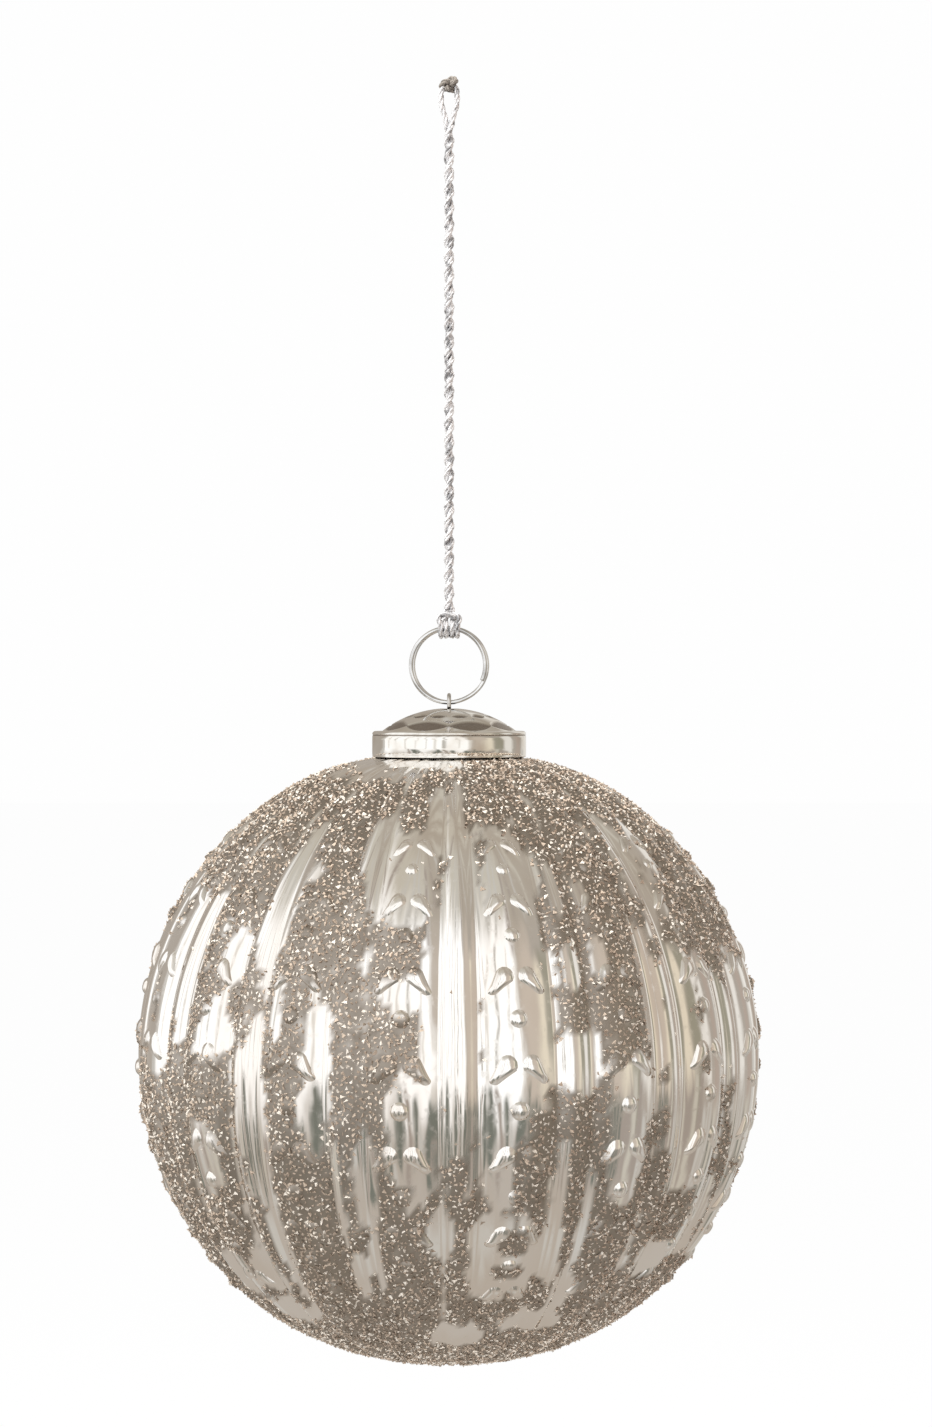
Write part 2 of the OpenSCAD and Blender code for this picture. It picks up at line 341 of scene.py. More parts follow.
class MeshParts:
    """Points and faces that are gathered into one mesh."""

    end_bulge = 0.4

    def __init__(self) -> None:
        """Starts with nothing."""
        self.points: list[np.ndarray] = []
        self.faces: list[list[int]] = []
        self.count = 0

    def add(self, points: np.ndarray, faces: Sequence[Sequence[int]]) -> "MeshParts":
        """Adds points in millimetres, and faces that count from the first of them."""
        self.points.append(points)
        self.faces.extend([i + self.count for i in face] for face in faces)
        self.count += len(points)
        return self

    def tube(self, path: np.ndarray, radius: float, sides: int) -> "MeshParts":
        """Adds a round tube with closed, slightly domed ends.

        Args:
            path: points along its middle.
            radius: its radius.
            sides: how many sides its section has.

        Returns:
            The same parts.
        """
        along, across, over = frames_along(path)
        turn = np.linspace(0, 2 * math.pi, sides, endpoint=False)
        ring = np.cos(turn)[None, :, None] * across[:, None] + np.sin(turn)[None, :, None] * over[:, None]
        body = path[:, None] + radius * ring
        bulge = self.end_bulge * radius
        ends = np.stack([path[0] - bulge * along[0], path[-1] + bulge * along[-1]])
        faces = grid_faces(len(path), sides)
        last = len(path) * sides
        faces += [[i, last, (i + 1) % sides] for i in range(sides)]
        top = last - sides
        faces += [[top + i, top + (i + 1) % sides, last + 1] for i in range(sides)]
        return self.add(np.concatenate([body.reshape(-1, 3), ends]), faces)

    def plies(self, path: np.ndarray, yarn: "Yarn") -> "MeshParts":
        """Adds a strand of plies wound round a path."""
        _, across, over = frames_along(path)
        for ply in range(yarn.plies):
            turn = 2 * math.pi * (lengths_along(path) / yarn.lay + ply / yarn.plies)
            shift = np.cos(turn)[:, None] * across + np.sin(turn)[:, None] * over
            self.tube(path + yarn.ply_offset * shift, yarn.ply_radius, yarn.ply_sides)
        return self

    def piece(self, name: str, material: Optional[bpy.types.Material] = None) -> bpy.types.Object:
        """Makes a smooth object of what was gathered, in metres."""
        mesh = bpy.data.meshes.new(name)
        mesh.from_pydata((np.concatenate(self.points) * MM).tolist(), [], self.faces)
        mesh.polygons.foreach_set("use_smooth", [True] * len(mesh.polygons))
        mesh.validate()
        if material:
            mesh.materials.append(material)
        return new_object(name, mesh)


def new_object(name: str, data: Optional[bpy.types.ID]) -> bpy.types.Object:
    """A new object in the scene."""
    made = bpy.data.objects.new(name, data)
    bpy.context.collection.objects.link(made)
    return made


def grid_faces(rows: int, columns: int) -> list[list[int]]:
    """Faces of a grid that closes round its columns."""
    return [
        [r * columns + c, r * columns + (c + 1) % columns,
         (r + 1) * columns + (c + 1) % columns, (r + 1) * columns + c]
        for r in range(rows - 1)
        for c in range(columns)
    ]


def lengths_along(path: np.ndarray) -> np.ndarray:
    """How far along a path each of its points is."""
    return np.concatenate([[0.0], np.cumsum(np.linalg.norm(np.diff(path, axis=0), axis=1))])


def frames_along(path: np.ndarray) -> tuple[np.ndarray, np.ndarray, np.ndarray]:
    """Frames that follow a path without twisting.

    Args:
        path: points of the path.

    Returns:
        The direction along it and two directions across it, at each point.
    """
    along = np.gradient(path, axis=0)
    along /= np.linalg.norm(along, axis=1)[:, None]
    start = np.eye(3)[np.argmin(np.abs(along[0]))]
    across = np.empty_like(along)
    across[0] = start - along[0] * (start @ along[0])
    across[0] /= np.linalg.norm(across[0])
    for i in range(1, len(path)):
        side = across[i - 1] - along[i] * (across[i - 1] @ along[i])
        across[i] = side / np.linalg.norm(side)
    return along, across, np.cross(along, across)


def even_path(points: np.ndarray, step: float, ease: float) -> np.ndarray:
    """Points a fixed step apart along a rounded path.

    Args:
        points: corners of the path.
        step: the distance between the new points.
        ease: how far along the path its corners are rounded.

    Returns:
        The new points, with the same first and last point.
    """
    length = lengths_along(points)
    places = np.linspace(0, length[-1], max(2, round(length[-1] / step)) + 1)
    path = np.stack([np.interp(places, length, points[:, k]) for k in range(3)], axis=1)
    for _ in range(max(1, round((ease / step) ** 2))):
        path[1:-1] += (path[:-2] - 2 * path[1:-1] + path[2:]) / 4
    return path


def turned(profile: np.ndarray, columns: int) -> np.ndarray:
    """Points of a profile (radius, height) turned about the vertical axis, row by row."""
    turn = np.linspace(0, 2 * math.pi, columns, endpoint=False)
    radius, height = profile[:, :1], np.repeat(profile[:, 1:], columns, axis=1)
    return np.stack([radius * np.cos(turn), radius * np.sin(turn), height], axis=2).reshape(-1, 3)


def lathe(profile: np.ndarray, columns: int) -> tuple[np.ndarray, list[list[int]]]:
    """Turns a profile about the vertical axis.

    Args:
        profile: points (radius, height), from bottom to top outside; an end at radius 0 is a pole.
        columns: how many columns the turned form has.

    Returns:
        Its points and faces. A pole is one point.
    """
    first, last = profile[0, 0] == 0, profile[-1, 0] == 0
    rings = profile[int(first):len(profile) - int(last)]
    points = turned(rings, columns)
    faces = grid_faces(len(rings), columns)
    for end, there, row in ((profile[0], first, 0), (profile[-1], last, len(rings) - 1)):
        if not there:
            continue
        pole = len(points)
        points = np.concatenate([points, [[0.0, 0.0, end[1]]]])
        base = row * columns
        for c in range(columns):
            pair = [base + (c + 1) % columns, base + c]
            faces.append([pole, *(pair if row == 0 else pair[::-1])])
    return points, faces


def add_numbers(piece: bpy.types.Object, name: str, numbers: np.ndarray) -> None:
    """Stores one number at each point of a piece."""
    layer = piece.data.attributes.new(name, "FLOAT", "POINT")
    layer.data.foreach_set("value", np.asarray(numbers, np.float32))


def node_box(node: str) -> tuple[np.ndarray, np.ndarray]:
    """Lowest and highest corner of a CAD node, in millimetres."""
    low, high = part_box(node)
    return np.array(low) / MM, np.array(high) / MM


def seat(piece: bpy.types.Object, body: Body, stands_for: Sequence[str] = ()) -> None:
    """Puts a piece on its body.

    Args:
        piece: the finished piece.
        body: the body that it moves with.
        stands_for: the CAD nodes that it hides.
    """
    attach(piece, body.value)
    if stands_for:
        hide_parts(*stands_for)
    LOG.info("%s: %d faces on %s", piece.name, len(piece.data.polygons), body.value)


def ramp(value: np.ndarray, low: float, high: float) -> np.ndarray:
    """A straight ramp from 0 at low to 1 at high."""
    return np.clip((value - low) / (high - low), 0, 1)


def smooth_ramp(value: np.ndarray, low: float, high: float) -> np.ndarray:
    """A smooth step from 0 at low to 1 at high."""
    share = ramp(value, low, high)
    return share * share * (3 - 2 * share)


def wandering(points: np.ndarray, octaves: int) -> np.ndarray:
    """Smooth fixed noise at points, about -1 to 1."""
    return np.array([noise.fractal(Vector(p), NOISE_FADE, NOISE_STEP, octaves) for p in points])


# Finishes


@dataclass(frozen=True)
class Cloud:
    """Noise on a piece's own coordinates.

    It is given by features in a metre, finer layers, and what each coordinate is multiplied by.
    """

    scale: float
    detail: float
    stretch: Triple = (1.0, 1.0, 1.0)


class Shading(Tree):
    """A material with one Principled shader."""

    def __init__(self, name: str, fixed: Mapping[str, Value]) -> None:
        """Starts a material.

        Args:
            name: the material's name.
            fixed: values that are the same all over the surface.
        """
        self.material = bpy.data.materials.new(name)
        self.material.use_nodes = True
        super().__init__(self.material.node_tree)
        self.shader = self.data.nodes["Principled BSDF"]
        for key, value in fixed.items():
            self.shader.inputs[key].default_value = value

    def held(self, name: str) -> Term:
        """A number that the mesh holds at each point."""
        return self.get("ShaderNodeAttribute", key="Fac", attribute_name=name)

    def cloud(self, cloud: Cloud) -> Term:
        """A cloud's value, from 0 to 1."""
        spot = self.vector("MULTIPLY", self.get("ShaderNodeTexCoord", key="Object"), cloud.stretch)
        sockets = {"Vector": spot, "Scale": cloud.scale, "Detail": cloud.detail}
        return self.get("ShaderNodeTexNoise", sockets, "Fac")

    def feed(self, key: str, value: Term) -> None:
        """Links a value that changes over the surface to a socket of the shader."""
        self.data.links.new(value.socket, self.shader.inputs[key])

    def bump(self, height: Term, depth: float, strength: float) -> None:
        """Raises the surface a little by a height from 0 to 1 and a depth in millimetres."""
        sockets = {"Height": height, "Distance": depth * MM, "Strength": strength}
        self.feed("Normal", self.get("ShaderNodeBump", sockets))


@dataclass(frozen=True)
class SilveredGlass:
    """Glass silvered inside: a soft champagne mirror with faint streaks, duller under the grains."""

    bright: Colour = (0.93, 0.915, 0.895)
    champagne: Colour = (0.87, 0.825, 0.775)
    bed: Colour = (0.31, 0.268, 0.225)
    bed_share: float = 0.9
    bed_roughness: float = 0.4
    polish: float = 0.06
    haze: float = 0.16
    ior: float = 1.5
    streak: Cloud = Cloud(90.0, 4.0, (1.0, 1.0, 0.16))
    streak_edge: Pair = (0.3, 0.7)
    fleck: Cloud = Cloud(700.0, 3.0)
    fleck_edge: Pair = (0.5, 0.72)
    ripple: Cloud = Cloud(230.0, 2.0, (1.0, 1.0, 0.14))
    ripple_depth: float = 0.045
    ripple_strength: float = 0.5

    def material(self) -> bpy.types.Material:
        """The finished material."""
        shade = Shading("silvered_glass", {"Metallic": 1.0, "IOR": self.ior})
        coat = shade.held("coat")
        streak = shade.smooth(shade.cloud(self.streak), *self.streak_edge)
        fleck = shade.smooth(shade.cloud(self.fleck), *self.fleck_edge)
        mirror = shade.mix(streak, self.bright, self.champagne)
        shade.feed("Base Color", shade.mix(coat * self.bed_share, mirror, self.bed))
        shade.feed("Roughness", self.polish + self.haze * fleck + self.bed_roughness * coat)
        shade.bump(shade.cloud(self.ripple), self.ripple_depth, self.ripple_strength)
        return shade.material


@dataclass(frozen=True)
class Grain:
    """One tone of the clear and smoky grains of the coat."""

    name: str
    colour: Colour
    metallic: float
    roughness: float
    ior: float = 1.55

    def material(self) -> bpy.types.Material:
        """The finished material: the grains' facets carry its detail, so its values are constant."""
        return Shading(self.name, {
            "Base Color": (*self.colour, 1.0), "Metallic": self.metallic,
            "Roughness": self.roughness, "IOR": self.ior,
        }).material


class GrainTone(Enum):
    """The tones that the coat's grains come in."""

    CREAM = Grain("grain_cream", (0.72, 0.665, 0.595), 0.42, 0.26)
    TAUPE = Grain("grain_taupe", (0.45, 0.37, 0.297), 0.25, 0.3)
    UMBER = Grain("grain_umber", (0.31, 0.247, 0.193), 0.2, 0.34)


@dataclass(frozen=True)
class Plate:
    """Bright nickel plate or wire with faint draw marks and tarnish."""

    name: str
    bright: Colour
    tarnish: Colour
    polish: float
    wear: float
    grain: Triple
    patina: Colour = (0.21, 0.166, 0.135)
    patina_share: float = 0.85
    patina_roughness: float = 0.3
    stain: Cloud = Cloud(160.0, 4.0)
    stain_edge: Pair = (0.42, 0.74)
    stain_wear: float = 0.5
    mark_scale: float = 900.0
    mark_detail: float = 3.0
    mark_depth: float = 0.006
    mark_strength: float = 0.15

    def material(self) -> bpy.types.Material:
        """The finished material."""
        shade = Shading(self.name, {"Metallic": 1.0})
        sunk = shade.held("sunk")
        marks = shade.cloud(Cloud(self.mark_scale, self.mark_detail, self.grain))
        stain = shade.smooth(shade.cloud(self.stain), *self.stain_edge)
        plate = shade.mix(stain, self.bright, self.tarnish)
        shade.feed("Base Color", shade.mix(sunk * self.patina_share, plate, self.patina))
        dull = self.polish + self.wear * marks + self.stain_wear * self.wear * stain
        shade.feed("Roughness", dull + self.patina_roughness * sunk)
        shade.bump(marks, self.mark_depth, self.mark_strength)
        return shade.material


class Metal(Enum):
    """The plates and the wire of the cap and the hanger."""

    RING = Plate("ring_plate", (0.84, 0.845, 0.85), (0.34, 0.335, 0.325), 0.05, 0.1, (1.0, 0.3, 1.0))
    CLIP = Plate("clip_wire", (0.72, 0.71, 0.69), (0.42, 0.38, 0.33), 0.16, 0.16, (0.3, 1.0, 1.0))
    CAP = Plate("cap_plate", (0.86, 0.845, 0.81), (0.7, 0.65, 0.58), 0.03, 0.07, (1.0, 1.0, 0.15))


@dataclass(frozen=True)
class MetallicYarn:
    """Silver metallic yarn: bright foil with darker flecks, which paint the shade between its plies at random
    spots.
    """

    name: str
    bright: Colour
    fleck: Colour
    metallic: float
    roughness: float
    patch: Cloud = Cloud(700.0, 3.0)
    patch_edge: Pair = (0.46, 0.68)
    thread: Cloud = Cloud(2600.0, 2.0)
    thread_roughness: float = 0.2
    thread_depth: float = 0.04
    thread_strength: float = 0.7

    def material(self) -> bpy.types.Material:
        """The finished material."""
        shade = Shading(self.name, {"Metallic": self.metallic})
        thread = shade.cloud(self.thread)
        patch = shade.smooth(shade.cloud(self.patch), *self.patch_edge)
        # The fleck colour is painted shade of the gaps between the plies, spread at random by a cloud.
        shade.feed("Base Color", shade.mix(patch, self.bright, self.fleck))
        shade.feed("Roughness", self.roughness + self.thread_roughness * thread)
        shade.bump(thread, self.thread_depth, self.thread_strength)
        return shade.material


class YarnTone(Enum):
    """The cord's yarn as it hangs, and a darker copy of it for the knot, which paints the shade that the knot
    sits in.
    """

    SILVER = MetallicYarn("silver_yarn", (0.8, 0.8, 0.815), (0.3, 0.3, 0.31), 0.5, 0.26)
    # The knot's darker yarn is painted shade: the knot at the top of the loop sits in shadow.
    KNOTTED = MetallicYarn("knotted_yarn", (0.27, 0.245, 0.22), (0.11, 0.1, 0.09), 0.35, 0.36)


# The studio


@dataclass(frozen=True)
class Glow:
    """A soft patch of light or shade on the inside of the light tent.

    Azimuth turns from the front to the right and elevation upwards, in degrees.
    """

    azimuth: float
    elevation: float
    half_wide: float
    half_high: float
    colour: Colour
    soft: float = 4.0
    fade: float = 0.0

    def weight(self, azimuth: np.ndarray, elevation: np.ndarray) -> np.ndarray:
        """How far the patch covers each direction, from 0 to 1."""
        off = np.abs((azimuth - self.azimuth + 180) % 360 - 180)
        blur = self.soft + self.fade
        wide = smooth_ramp(off, self.half_wide + self.soft, self.half_wide - self.soft)
        rise = np.abs(elevation - self.elevation)
        return wide * smooth_ramp(rise, self.half_high + blur, self.half_high - blur)


@dataclass(frozen=True)
class Drapes:
    """A row of upright folds of random width and tone, which break up the reflections."""

    azimuth: Pair
    elevation: Pair
    width: Pair
    gap: Pair
    colours: tuple[Colour, ...]
    ragged: float
    soft: float
    seed: int

    def glows(self) -> list[Glow]:
        """The folds, one by one."""
        draw = np.random.default_rng(self.seed)
        folds = []
        place = self.azimuth[0]
        while place < self.azimuth[1]:
            half = draw.uniform(*self.width) / 2
            low, high = (edge + draw.uniform(-self.ragged, self.ragged) for edge in self.elevation)
            colour = self.colours[int(draw.integers(len(self.colours)))]
            folds.append(Glow(place + half, (low + high) / 2, half, (high - low) / 2, colour, self.soft))
            place += 2 * half + draw.uniform(*self.gap)
        return folds


@dataclass(frozen=True)
class Lamp:
    """A soft square lamp, with its place from the ball's middle in millimetres."""

    name: str
    place: Triple
    size: float
    watts: float
    colour: Colour

    def hang(self, target: Vector) -> None:
        """Hangs the lamp so that it faces a target."""
        data = bpy.data.lights.new(self.name, "AREA")
        data.size = self.size * MM
        data.energy = self.watts
        data.color = self.colour
        made = new_object(self.name, data)
        made.location = (target + Vector(self.place)) * MM
        made.rotation_euler = (-Vector(self.place)).to_track_quat("-Z", "Y").to_euler()
        made.visible_glossy = False


WHITE_CLOTH: Colour = (1.24, 1.235, 1.23)
PALE_CLOTH: Colour = (0.86, 0.83, 0.78)
SAGE_CLOTH: Colour = (0.6, 0.565, 0.49)
GREY_CLOTH: Colour = (0.6, 0.58, 0.54)
TAUPE_CLOTH: Colour = (0.4, 0.35, 0.31)
BROWN_CLOTH: Colour = (0.47, 0.395, 0.34)
TAN_CLOTH: Colour = (0.62, 0.54, 0.46)
CREAM_CLOTH: Colour = (0.84, 0.76, 0.62)
OLIVE_CLOTH: Colour = (0.36, 0.34, 0.27)
SHADE_CLOTH: Colour = (0.2, 0.21, 0.18)


@dataclass
class Studio:
    """Camera, floor, light tent, lamps and world."""

    image: tuple[int, int] = (932, 1427)
    focal_pixels: float = 2603.6
    sensor: float = 36.0
    camera_place: Triple = (3.4, -525.0, -125.5)
    floor_drop: float = 300.0
    floor_half: float = 12000.0
    floor_colour: Colour = (0.93, 0.93, 0.93)
    floor_glow: float = 0.975
    tent_radius: float = 1600.0
    tent_rows: int = 140
    waver: float = 7.0
    waver_size: float = 3.2
    waver_spot: float = 50.0
    waver_octaves: int = 3
    backdrop: Colour = (0.992, 0.992, 0.992)
    ambient: Colour = (0.33, 0.33, 0.335)
    ceiling: Colour = (0.47, 0.42, 0.355)
    ceiling_edge: Pair = (25, 60)
    wall: Colour = (0.45, 0.405, 0.355)
    ground: Colour = (0.52, 0.47, 0.415)
    ground_edge: Pair = (2, -24)
    glows: tuple[Glow, ...] = (
        Glow(-50, 62, 80, 20, SAGE_CLOTH, 12),
        Glow(-45, 18, 72, 32, WHITE_CLOTH, 6, 8),
        Glow(8, 18, 22, 33, WHITE_CLOTH, 5, 9),
        Glow(45, 12, 13, 30, TAN_CLOTH, 8),
        Glow(64, 8, 8, 18, CREAM_CLOTH, 6),
        Glow(80, 6, 8, 24, OLIVE_CLOTH, 5),
        Glow(99, 12, 11, 20, PALE_CLOTH, 4),
        Glow(126, 8, 5, 20, BROWN_CLOTH, 3),
        Glow(156, 10, 18, 24, PALE_CLOTH, 6),
        Glow(-40, -58, 26, 10, GREY_CLOTH, 8),
        Glow(40, -60, 24, 10, GREY_CLOTH, 8),
        Glow(62, -26, 40, 12, TAUPE_CLOTH, 12),
    )
    drapes: tuple[Drapes, ...] = (
        Drapes((-118, 30), (-4, 44), (1.5, 4), (5, 16), (PALE_CLOTH, GREY_CLOTH), 8, 1.5, 4),
        Drapes(
            (-180, 180), (-38, -11), (3, 9), (0.5, 6),
            (SHADE_CLOTH, SAGE_CLOTH, TAUPE_CLOTH, GREY_CLOTH, SHADE_CLOTH), 9, 2.5, 9,
        ),
        Drapes((-180, 180), (50, 76), (3, 9), (6, 20), (SAGE_CLOTH, GREY_CLOTH, TAUPE_CLOTH), 8, 4, 6),
    )
    lamps: tuple[Lamp, ...] = (
        Lamp("key_lamp", (-700, -400, 800), 420, 14.0, (1.0, 0.985, 0.96)),
        Lamp("top_lamp", (-160, -60, 1100), 1000, 26.0, (1.0, 0.98, 0.95)),
        Lamp("fill_lamp", (800, -300, 330), 600, 2.0, (1.0, 0.62, 0.45)),
        Lamp("bounce_lamp", (-660, -260, -470), 500, 5.5, (1.0, 0.97, 0.93)),
        Lamp("back_lamp", (300, 900, 500), 700, 4.0, (1.0, 0.95, 0.9)),
    )

    def set_camera(self) -> None:
        """Puts the camera where the photograph was taken from."""
        data = bpy.data.cameras.new("camera")
        data.sensor_width = self.sensor
        data.lens = self.sensor * self.focal_pixels / max(self.image)
        camera = new_object("camera", data)
        camera.location = Vector(self.camera_place) * MM
        camera.rotation_euler = (math.pi / 2, 0.0, 0.0)
        bpy.context.scene.camera = camera

    @staticmethod
    def seen(tree: Tree) -> Term:
        """1 for rays that show the background, in the picture or in metal and glass."""
        path = tree.node("ShaderNodeLightPath")
        rays = [tree.out(path, f"Is {ray} Ray") for ray in ("Camera", "Glossy", "Transmission")]
        return tree.math("MAXIMUM", tree.math("MAXIMUM", rays[0], rays[1]), rays[2])

    def set_world(self) -> None:
        """Makes the world white to look at and plain soft light otherwise."""
        world = bpy.data.worlds.new("studio")
        bpy.context.scene.world = world
        tree = bare_tree(world)
        lit = tree.get("ShaderNodeBackground", {"Color": (*self.ambient, 1.0)})
        white = tree.get("ShaderNodeBackground", {"Color": (*self.backdrop, 1.0)})
        both = tree.get("ShaderNodeMixShader", {0: self.seen(tree), 1: lit, 2: white})
        tree.node("ShaderNodeOutputWorld", {"Surface": both})

    def lay_floor(self, lowest: float) -> None:
        """Lays a pale floor under the object that keeps its shadow."""
        material = bpy.data.materials.new("pale_floor")
        tree = bare_tree(material)
        matt = tree.get("ShaderNodeBsdfDiffuse", {"Color": (*self.floor_colour, 1.0)})
        glow = tree.get("ShaderNodeEmission", {"Color": (1.0, 1.0, 1.0, 1.0)})
        both = tree.get("ShaderNodeMixShader", {0: self.seen(tree) * self.floor_glow, 1: matt, 2: glow})
        tree.node("ShaderNodeOutputMaterial", {"Surface": both})
        h = self.floor_half
        z = lowest - self.floor_drop
        corners = np.array([[-h, -h, z], [h, -h, z], [h, h, z], [-h, h, z]])
        floor = MeshParts().add(corners, [[0, 1, 2, 3]]).piece("floor", material)
        floor.visible_glossy = False

    def tent_colour(self, azimuth: np.ndarray, elevation: np.ndarray) -> np.ndarray:
        """The tent's colour by direction, in degrees."""
        turn = np.radians(azimuth)
        spots = np.stack([np.cos(turn), np.sin(turn), np.radians(elevation)], axis=1) * self.waver_size
        azimuth = azimuth + self.waver * wandering(spots, self.waver_octaves)
        elevation = elevation + self.waver * wandering(spots + self.waver_spot, self.waver_octaves)
        colour = np.array(self.wall)[None]
        layers = [
            (smooth_ramp(elevation, *self.ceiling_edge), self.ceiling),
            (smooth_ramp(elevation, *self.ground_edge), self.ground),
        ]
        folds = [fold for row in self.drapes for fold in row.glows()]
        layers += [(glow.weight(azimuth, elevation), glow.colour) for glow in (*self.glows, *folds)]
        for weight, cloth in layers:
            colour = colour * (1 - weight[:, None]) + np.array(cloth) * weight[:, None]
        return colour

    def hang_tent(self, middle: float) -> None:
        """Hangs the light tent, which only shows in shiny surfaces."""
        material = bpy.data.materials.new("tent_cloth")
        tree = bare_tree(material)
        cloth = tree.get("ShaderNodeAttribute", key="Color", attribute_name="glow")
        glow = tree.get("ShaderNodeEmission", {"Color": cloth})
        tree.node("ShaderNodeOutputMaterial", {"Surface": glow})
        material.cycles.emission_sampling = "NONE"
        lat = np.radians(np.linspace(-90, 90, self.tent_rows + 1))
        profile = np.stack([np.cos(lat) * self.tent_radius, middle + np.sin(lat) * self.tent_radius], axis=1)
        profile[0, 0] = profile[-1, 0] = 0
        points, faces = lathe(profile, 4 * self.tent_rows)
        tent = MeshParts().add(points, [face[::-1] for face in faces]).piece("light_tent", material)
        azimuth = np.degrees(np.arctan2(points[:, 0], -points[:, 1]))
        elevation = np.degrees(np.arcsin(np.clip((points[:, 2] - middle) / self.tent_radius, -1, 1)))
        colours = np.concatenate([self.tent_colour(azimuth, elevation), np.ones((len(points), 1))], axis=1)
        layer = tent.data.color_attributes.new("glow", "FLOAT_COLOR", "POINT")
        layer.data.foreach_set("color", colours.astype(np.float32).ravel())
        for ray in ("camera", "diffuse", "transmission", "volume_scatter", "shadow"):
            setattr(tent, f"visible_{ray}", False)

    def light(self, middle: float, lowest: float) -> None:
        """Lights the object.

        Args:
            middle: height of the ball's middle, in millimetres.
            lowest: height of its foot.
        """
        bpy.context.scene.view_settings.view_transform = "Standard"
        self.set_world()
        self.lay_floor(lowest)
        self.hang_tent(middle)
        for lamp in self.lamps:
            lamp.hang(Vector((0.0, 0.0, middle)))


# The cord


@dataclass
class Yarn:
    """The plied metallic cord."""

    diameter: float = 1.1
    plies: int = 3
    lay: float = 5.4
    ply_radius: float = 0.3
    ply_offset: float = 0.29
    ply_sides: int = 8
    step: float = 0.3


@dataclass
class Cord:
    """A doubled cord: hitched to the ring, twisted on itself, parted into an eye and knotted.

    The eye's right strand is given by (reach, height). The hitch's right half, from the end of the
    strand to the middle of the bow, is given from the wire of the ring.
    """

    yarn: Yarn
    turns: float = 14.5
    twist_points: int = 400
    twist_ease: float = 0.7
    eye: tuple[Pair, ...] = (
        (0.8, -5.2), (1.2, -4.0), (1.55, -2.8), (1.65, -1.6), (1.6, -0.5), (1.55, 0.3), (1.2, 1.0),
    )
    hitch: tuple[Triple, ...] = (
        (0.58, 0.15, 3.0), (0.66, 0.6, 2.2), (0.78, 1.25, 1.3), (0.6, 1.68, 0.2), (0.56, 1.3, -1.0),
        (0.55, 0.1, -1.66), (0.56, -1.1, -1.3), (0.62, -1.7, -0.1), (0.72, -1.4, 1.1), (0.95, -0.2, 1.68),
        (1.25, 1.2, 1.2), (1.5, 1.68, 0.1), (1.62, 1.2, -1.1), (1.62, 0.0, -1.7), (1.6, -1.2, -1.2),
        (1.66, -1.72, 0.0), (1.8, -1.8, 0.9), (2.08, -1.7, 1.6), (1.98, -1.62, 2.25), (1.5, -1.58, 2.62),
        (0.7, -1.55, 2.66), (0.0, -1.55, 2.6),
    )
    hitch_ease: float = 0.35
    knot_points: int = 200
    knot_ease: float = 0.2
    knot_deep: float = 0.55
    knot_squash: float = 0.8
    knot_lean: float = 32.0
    knot_sag: float = 0.34
    tail: tuple[Triple, ...] = ((0.3, 0.25, 0.2), (1.0, 0.4, 0.6), (1.6, 0.5, 1.0))

    def __post_init__(self) -> None:
        """Reads the cord's heights from the frame."""
        self.hitch_z = node_box("cord_hitch")[1][2]
        self.fork_z = node_box("cord_twist")[1][2]
        self.knot_low, self.knot_high = node_box("cord_knot")
        self.bar_z = node_box("split_ring")[1][2] - Hanger.ring_wire / 2

    def strand_path(self, side: int) -> np.ndarray:
        """One strand from the hitch up to the knot.

        Args:
            side: 1 for the strand that ends at the right, -1 for the left one.

        Returns:
            Points of its middle.
        """
        half = self.yarn.diameter / 2
        height = np.linspace(self.hitch_z, self.fork_z, self.twist_points)
        share = (height - self.fork_z) / (self.fork_z - self.hitch_z)
        turn = 2 * math.pi * self.turns * share
        twist = np.stack([side * half * np.cos(turn), side * half * np.sin(turn), height], axis=1)
        rise = np.insert(np.array(self.eye) * np.array([side, 1]), 1, 0.0, axis=1)
        return even_path(np.concatenate([twist, rise]), self.yarn.step, self.twist_ease)

    def hitch_path(self) -> np.ndarray:
        """The turns of the hitch round the top of the ring, from one strand to the other."""
        half = np.array([(self.yarn.diameter / 2, 0.0, self.hitch_z - self.bar_z), *self.hitch])
        other = half[-2::-1] * np.array([-1, 1, 1])
        path = np.concatenate([half, other]) + np.array([0, 0, self.bar_z])
        return even_path(path, self.yarn.step, self.hitch_ease)

    def knot_paths(self) -> list[np.ndarray]:
        """The overhand knot at the top and its two trimmed tails."""
        middle = (self.knot_low + self.knot_high) / 2 - np.array([0, 0, self.knot_sag])
        reach = (self.knot_high[0] - self.knot_low[0] - self.yarn.diameter) / 2
        t = np.linspace(0, 2 * math.pi, self.knot_points)
        lobe = np.stack([
            (np.sin(t) + 2 * np.sin(2 * t)) / 3 * reach,
            -np.sin(3 * t) * self.knot_deep,
            (np.cos(t) - 2 * np.cos(2 * t)) / 3 * reach * self.knot_squash,
        ], axis=1)
        lean = math.radians(self.knot_lean)
        turn = np.array([
            [math.cos(lean), 0, -math.sin(lean)], [0, 1, 0], [math.sin(lean), 0, math.cos(lean)],
        ])
        tails = [np.array(self.tail) * np.array([1, side, 1]) for side in (-1, 1)]
        return [even_path(path + middle, self.yarn.step, self.knot_ease) for path in (lobe @ turn.T, *tails)]

    def build(self) -> None:
        """Builds and dresses the cord."""
        silver = YarnTone.SILVER.value.material()
        # The knot is dressed in the darker yarn, which paints its shade into its colour.
        dull = YarnTone.KNOTTED.value.material()
        hitch = MeshParts().plies(self.hitch_path(), self.yarn).piece("cord_hitch_turns", silver)
        seat(hitch, Body.CORD, ["cord_hitch"])
        turns = MeshParts()
        for path in self.knot_paths():
            turns.plies(path, self.yarn)
        knot = turns.piece("cord_end_knot", dull)
        seat(knot, Body.CORD, ["cord_knot"])
        for side, name, stands_for, carried in (
            (1, "cord_strand_right", ["cord_twist", "cord_loop"], [knot]),
            (-1, "cord_strand_left", [], [hitch]),
        ):
            path = self.strand_path(side)
            strand = MeshParts().plies(path, self.yarn).piece(name, silver)
            seat(strand, Body.CORD, stands_for)
            path[0] * MM
            path * MM


# The split ring and the clip


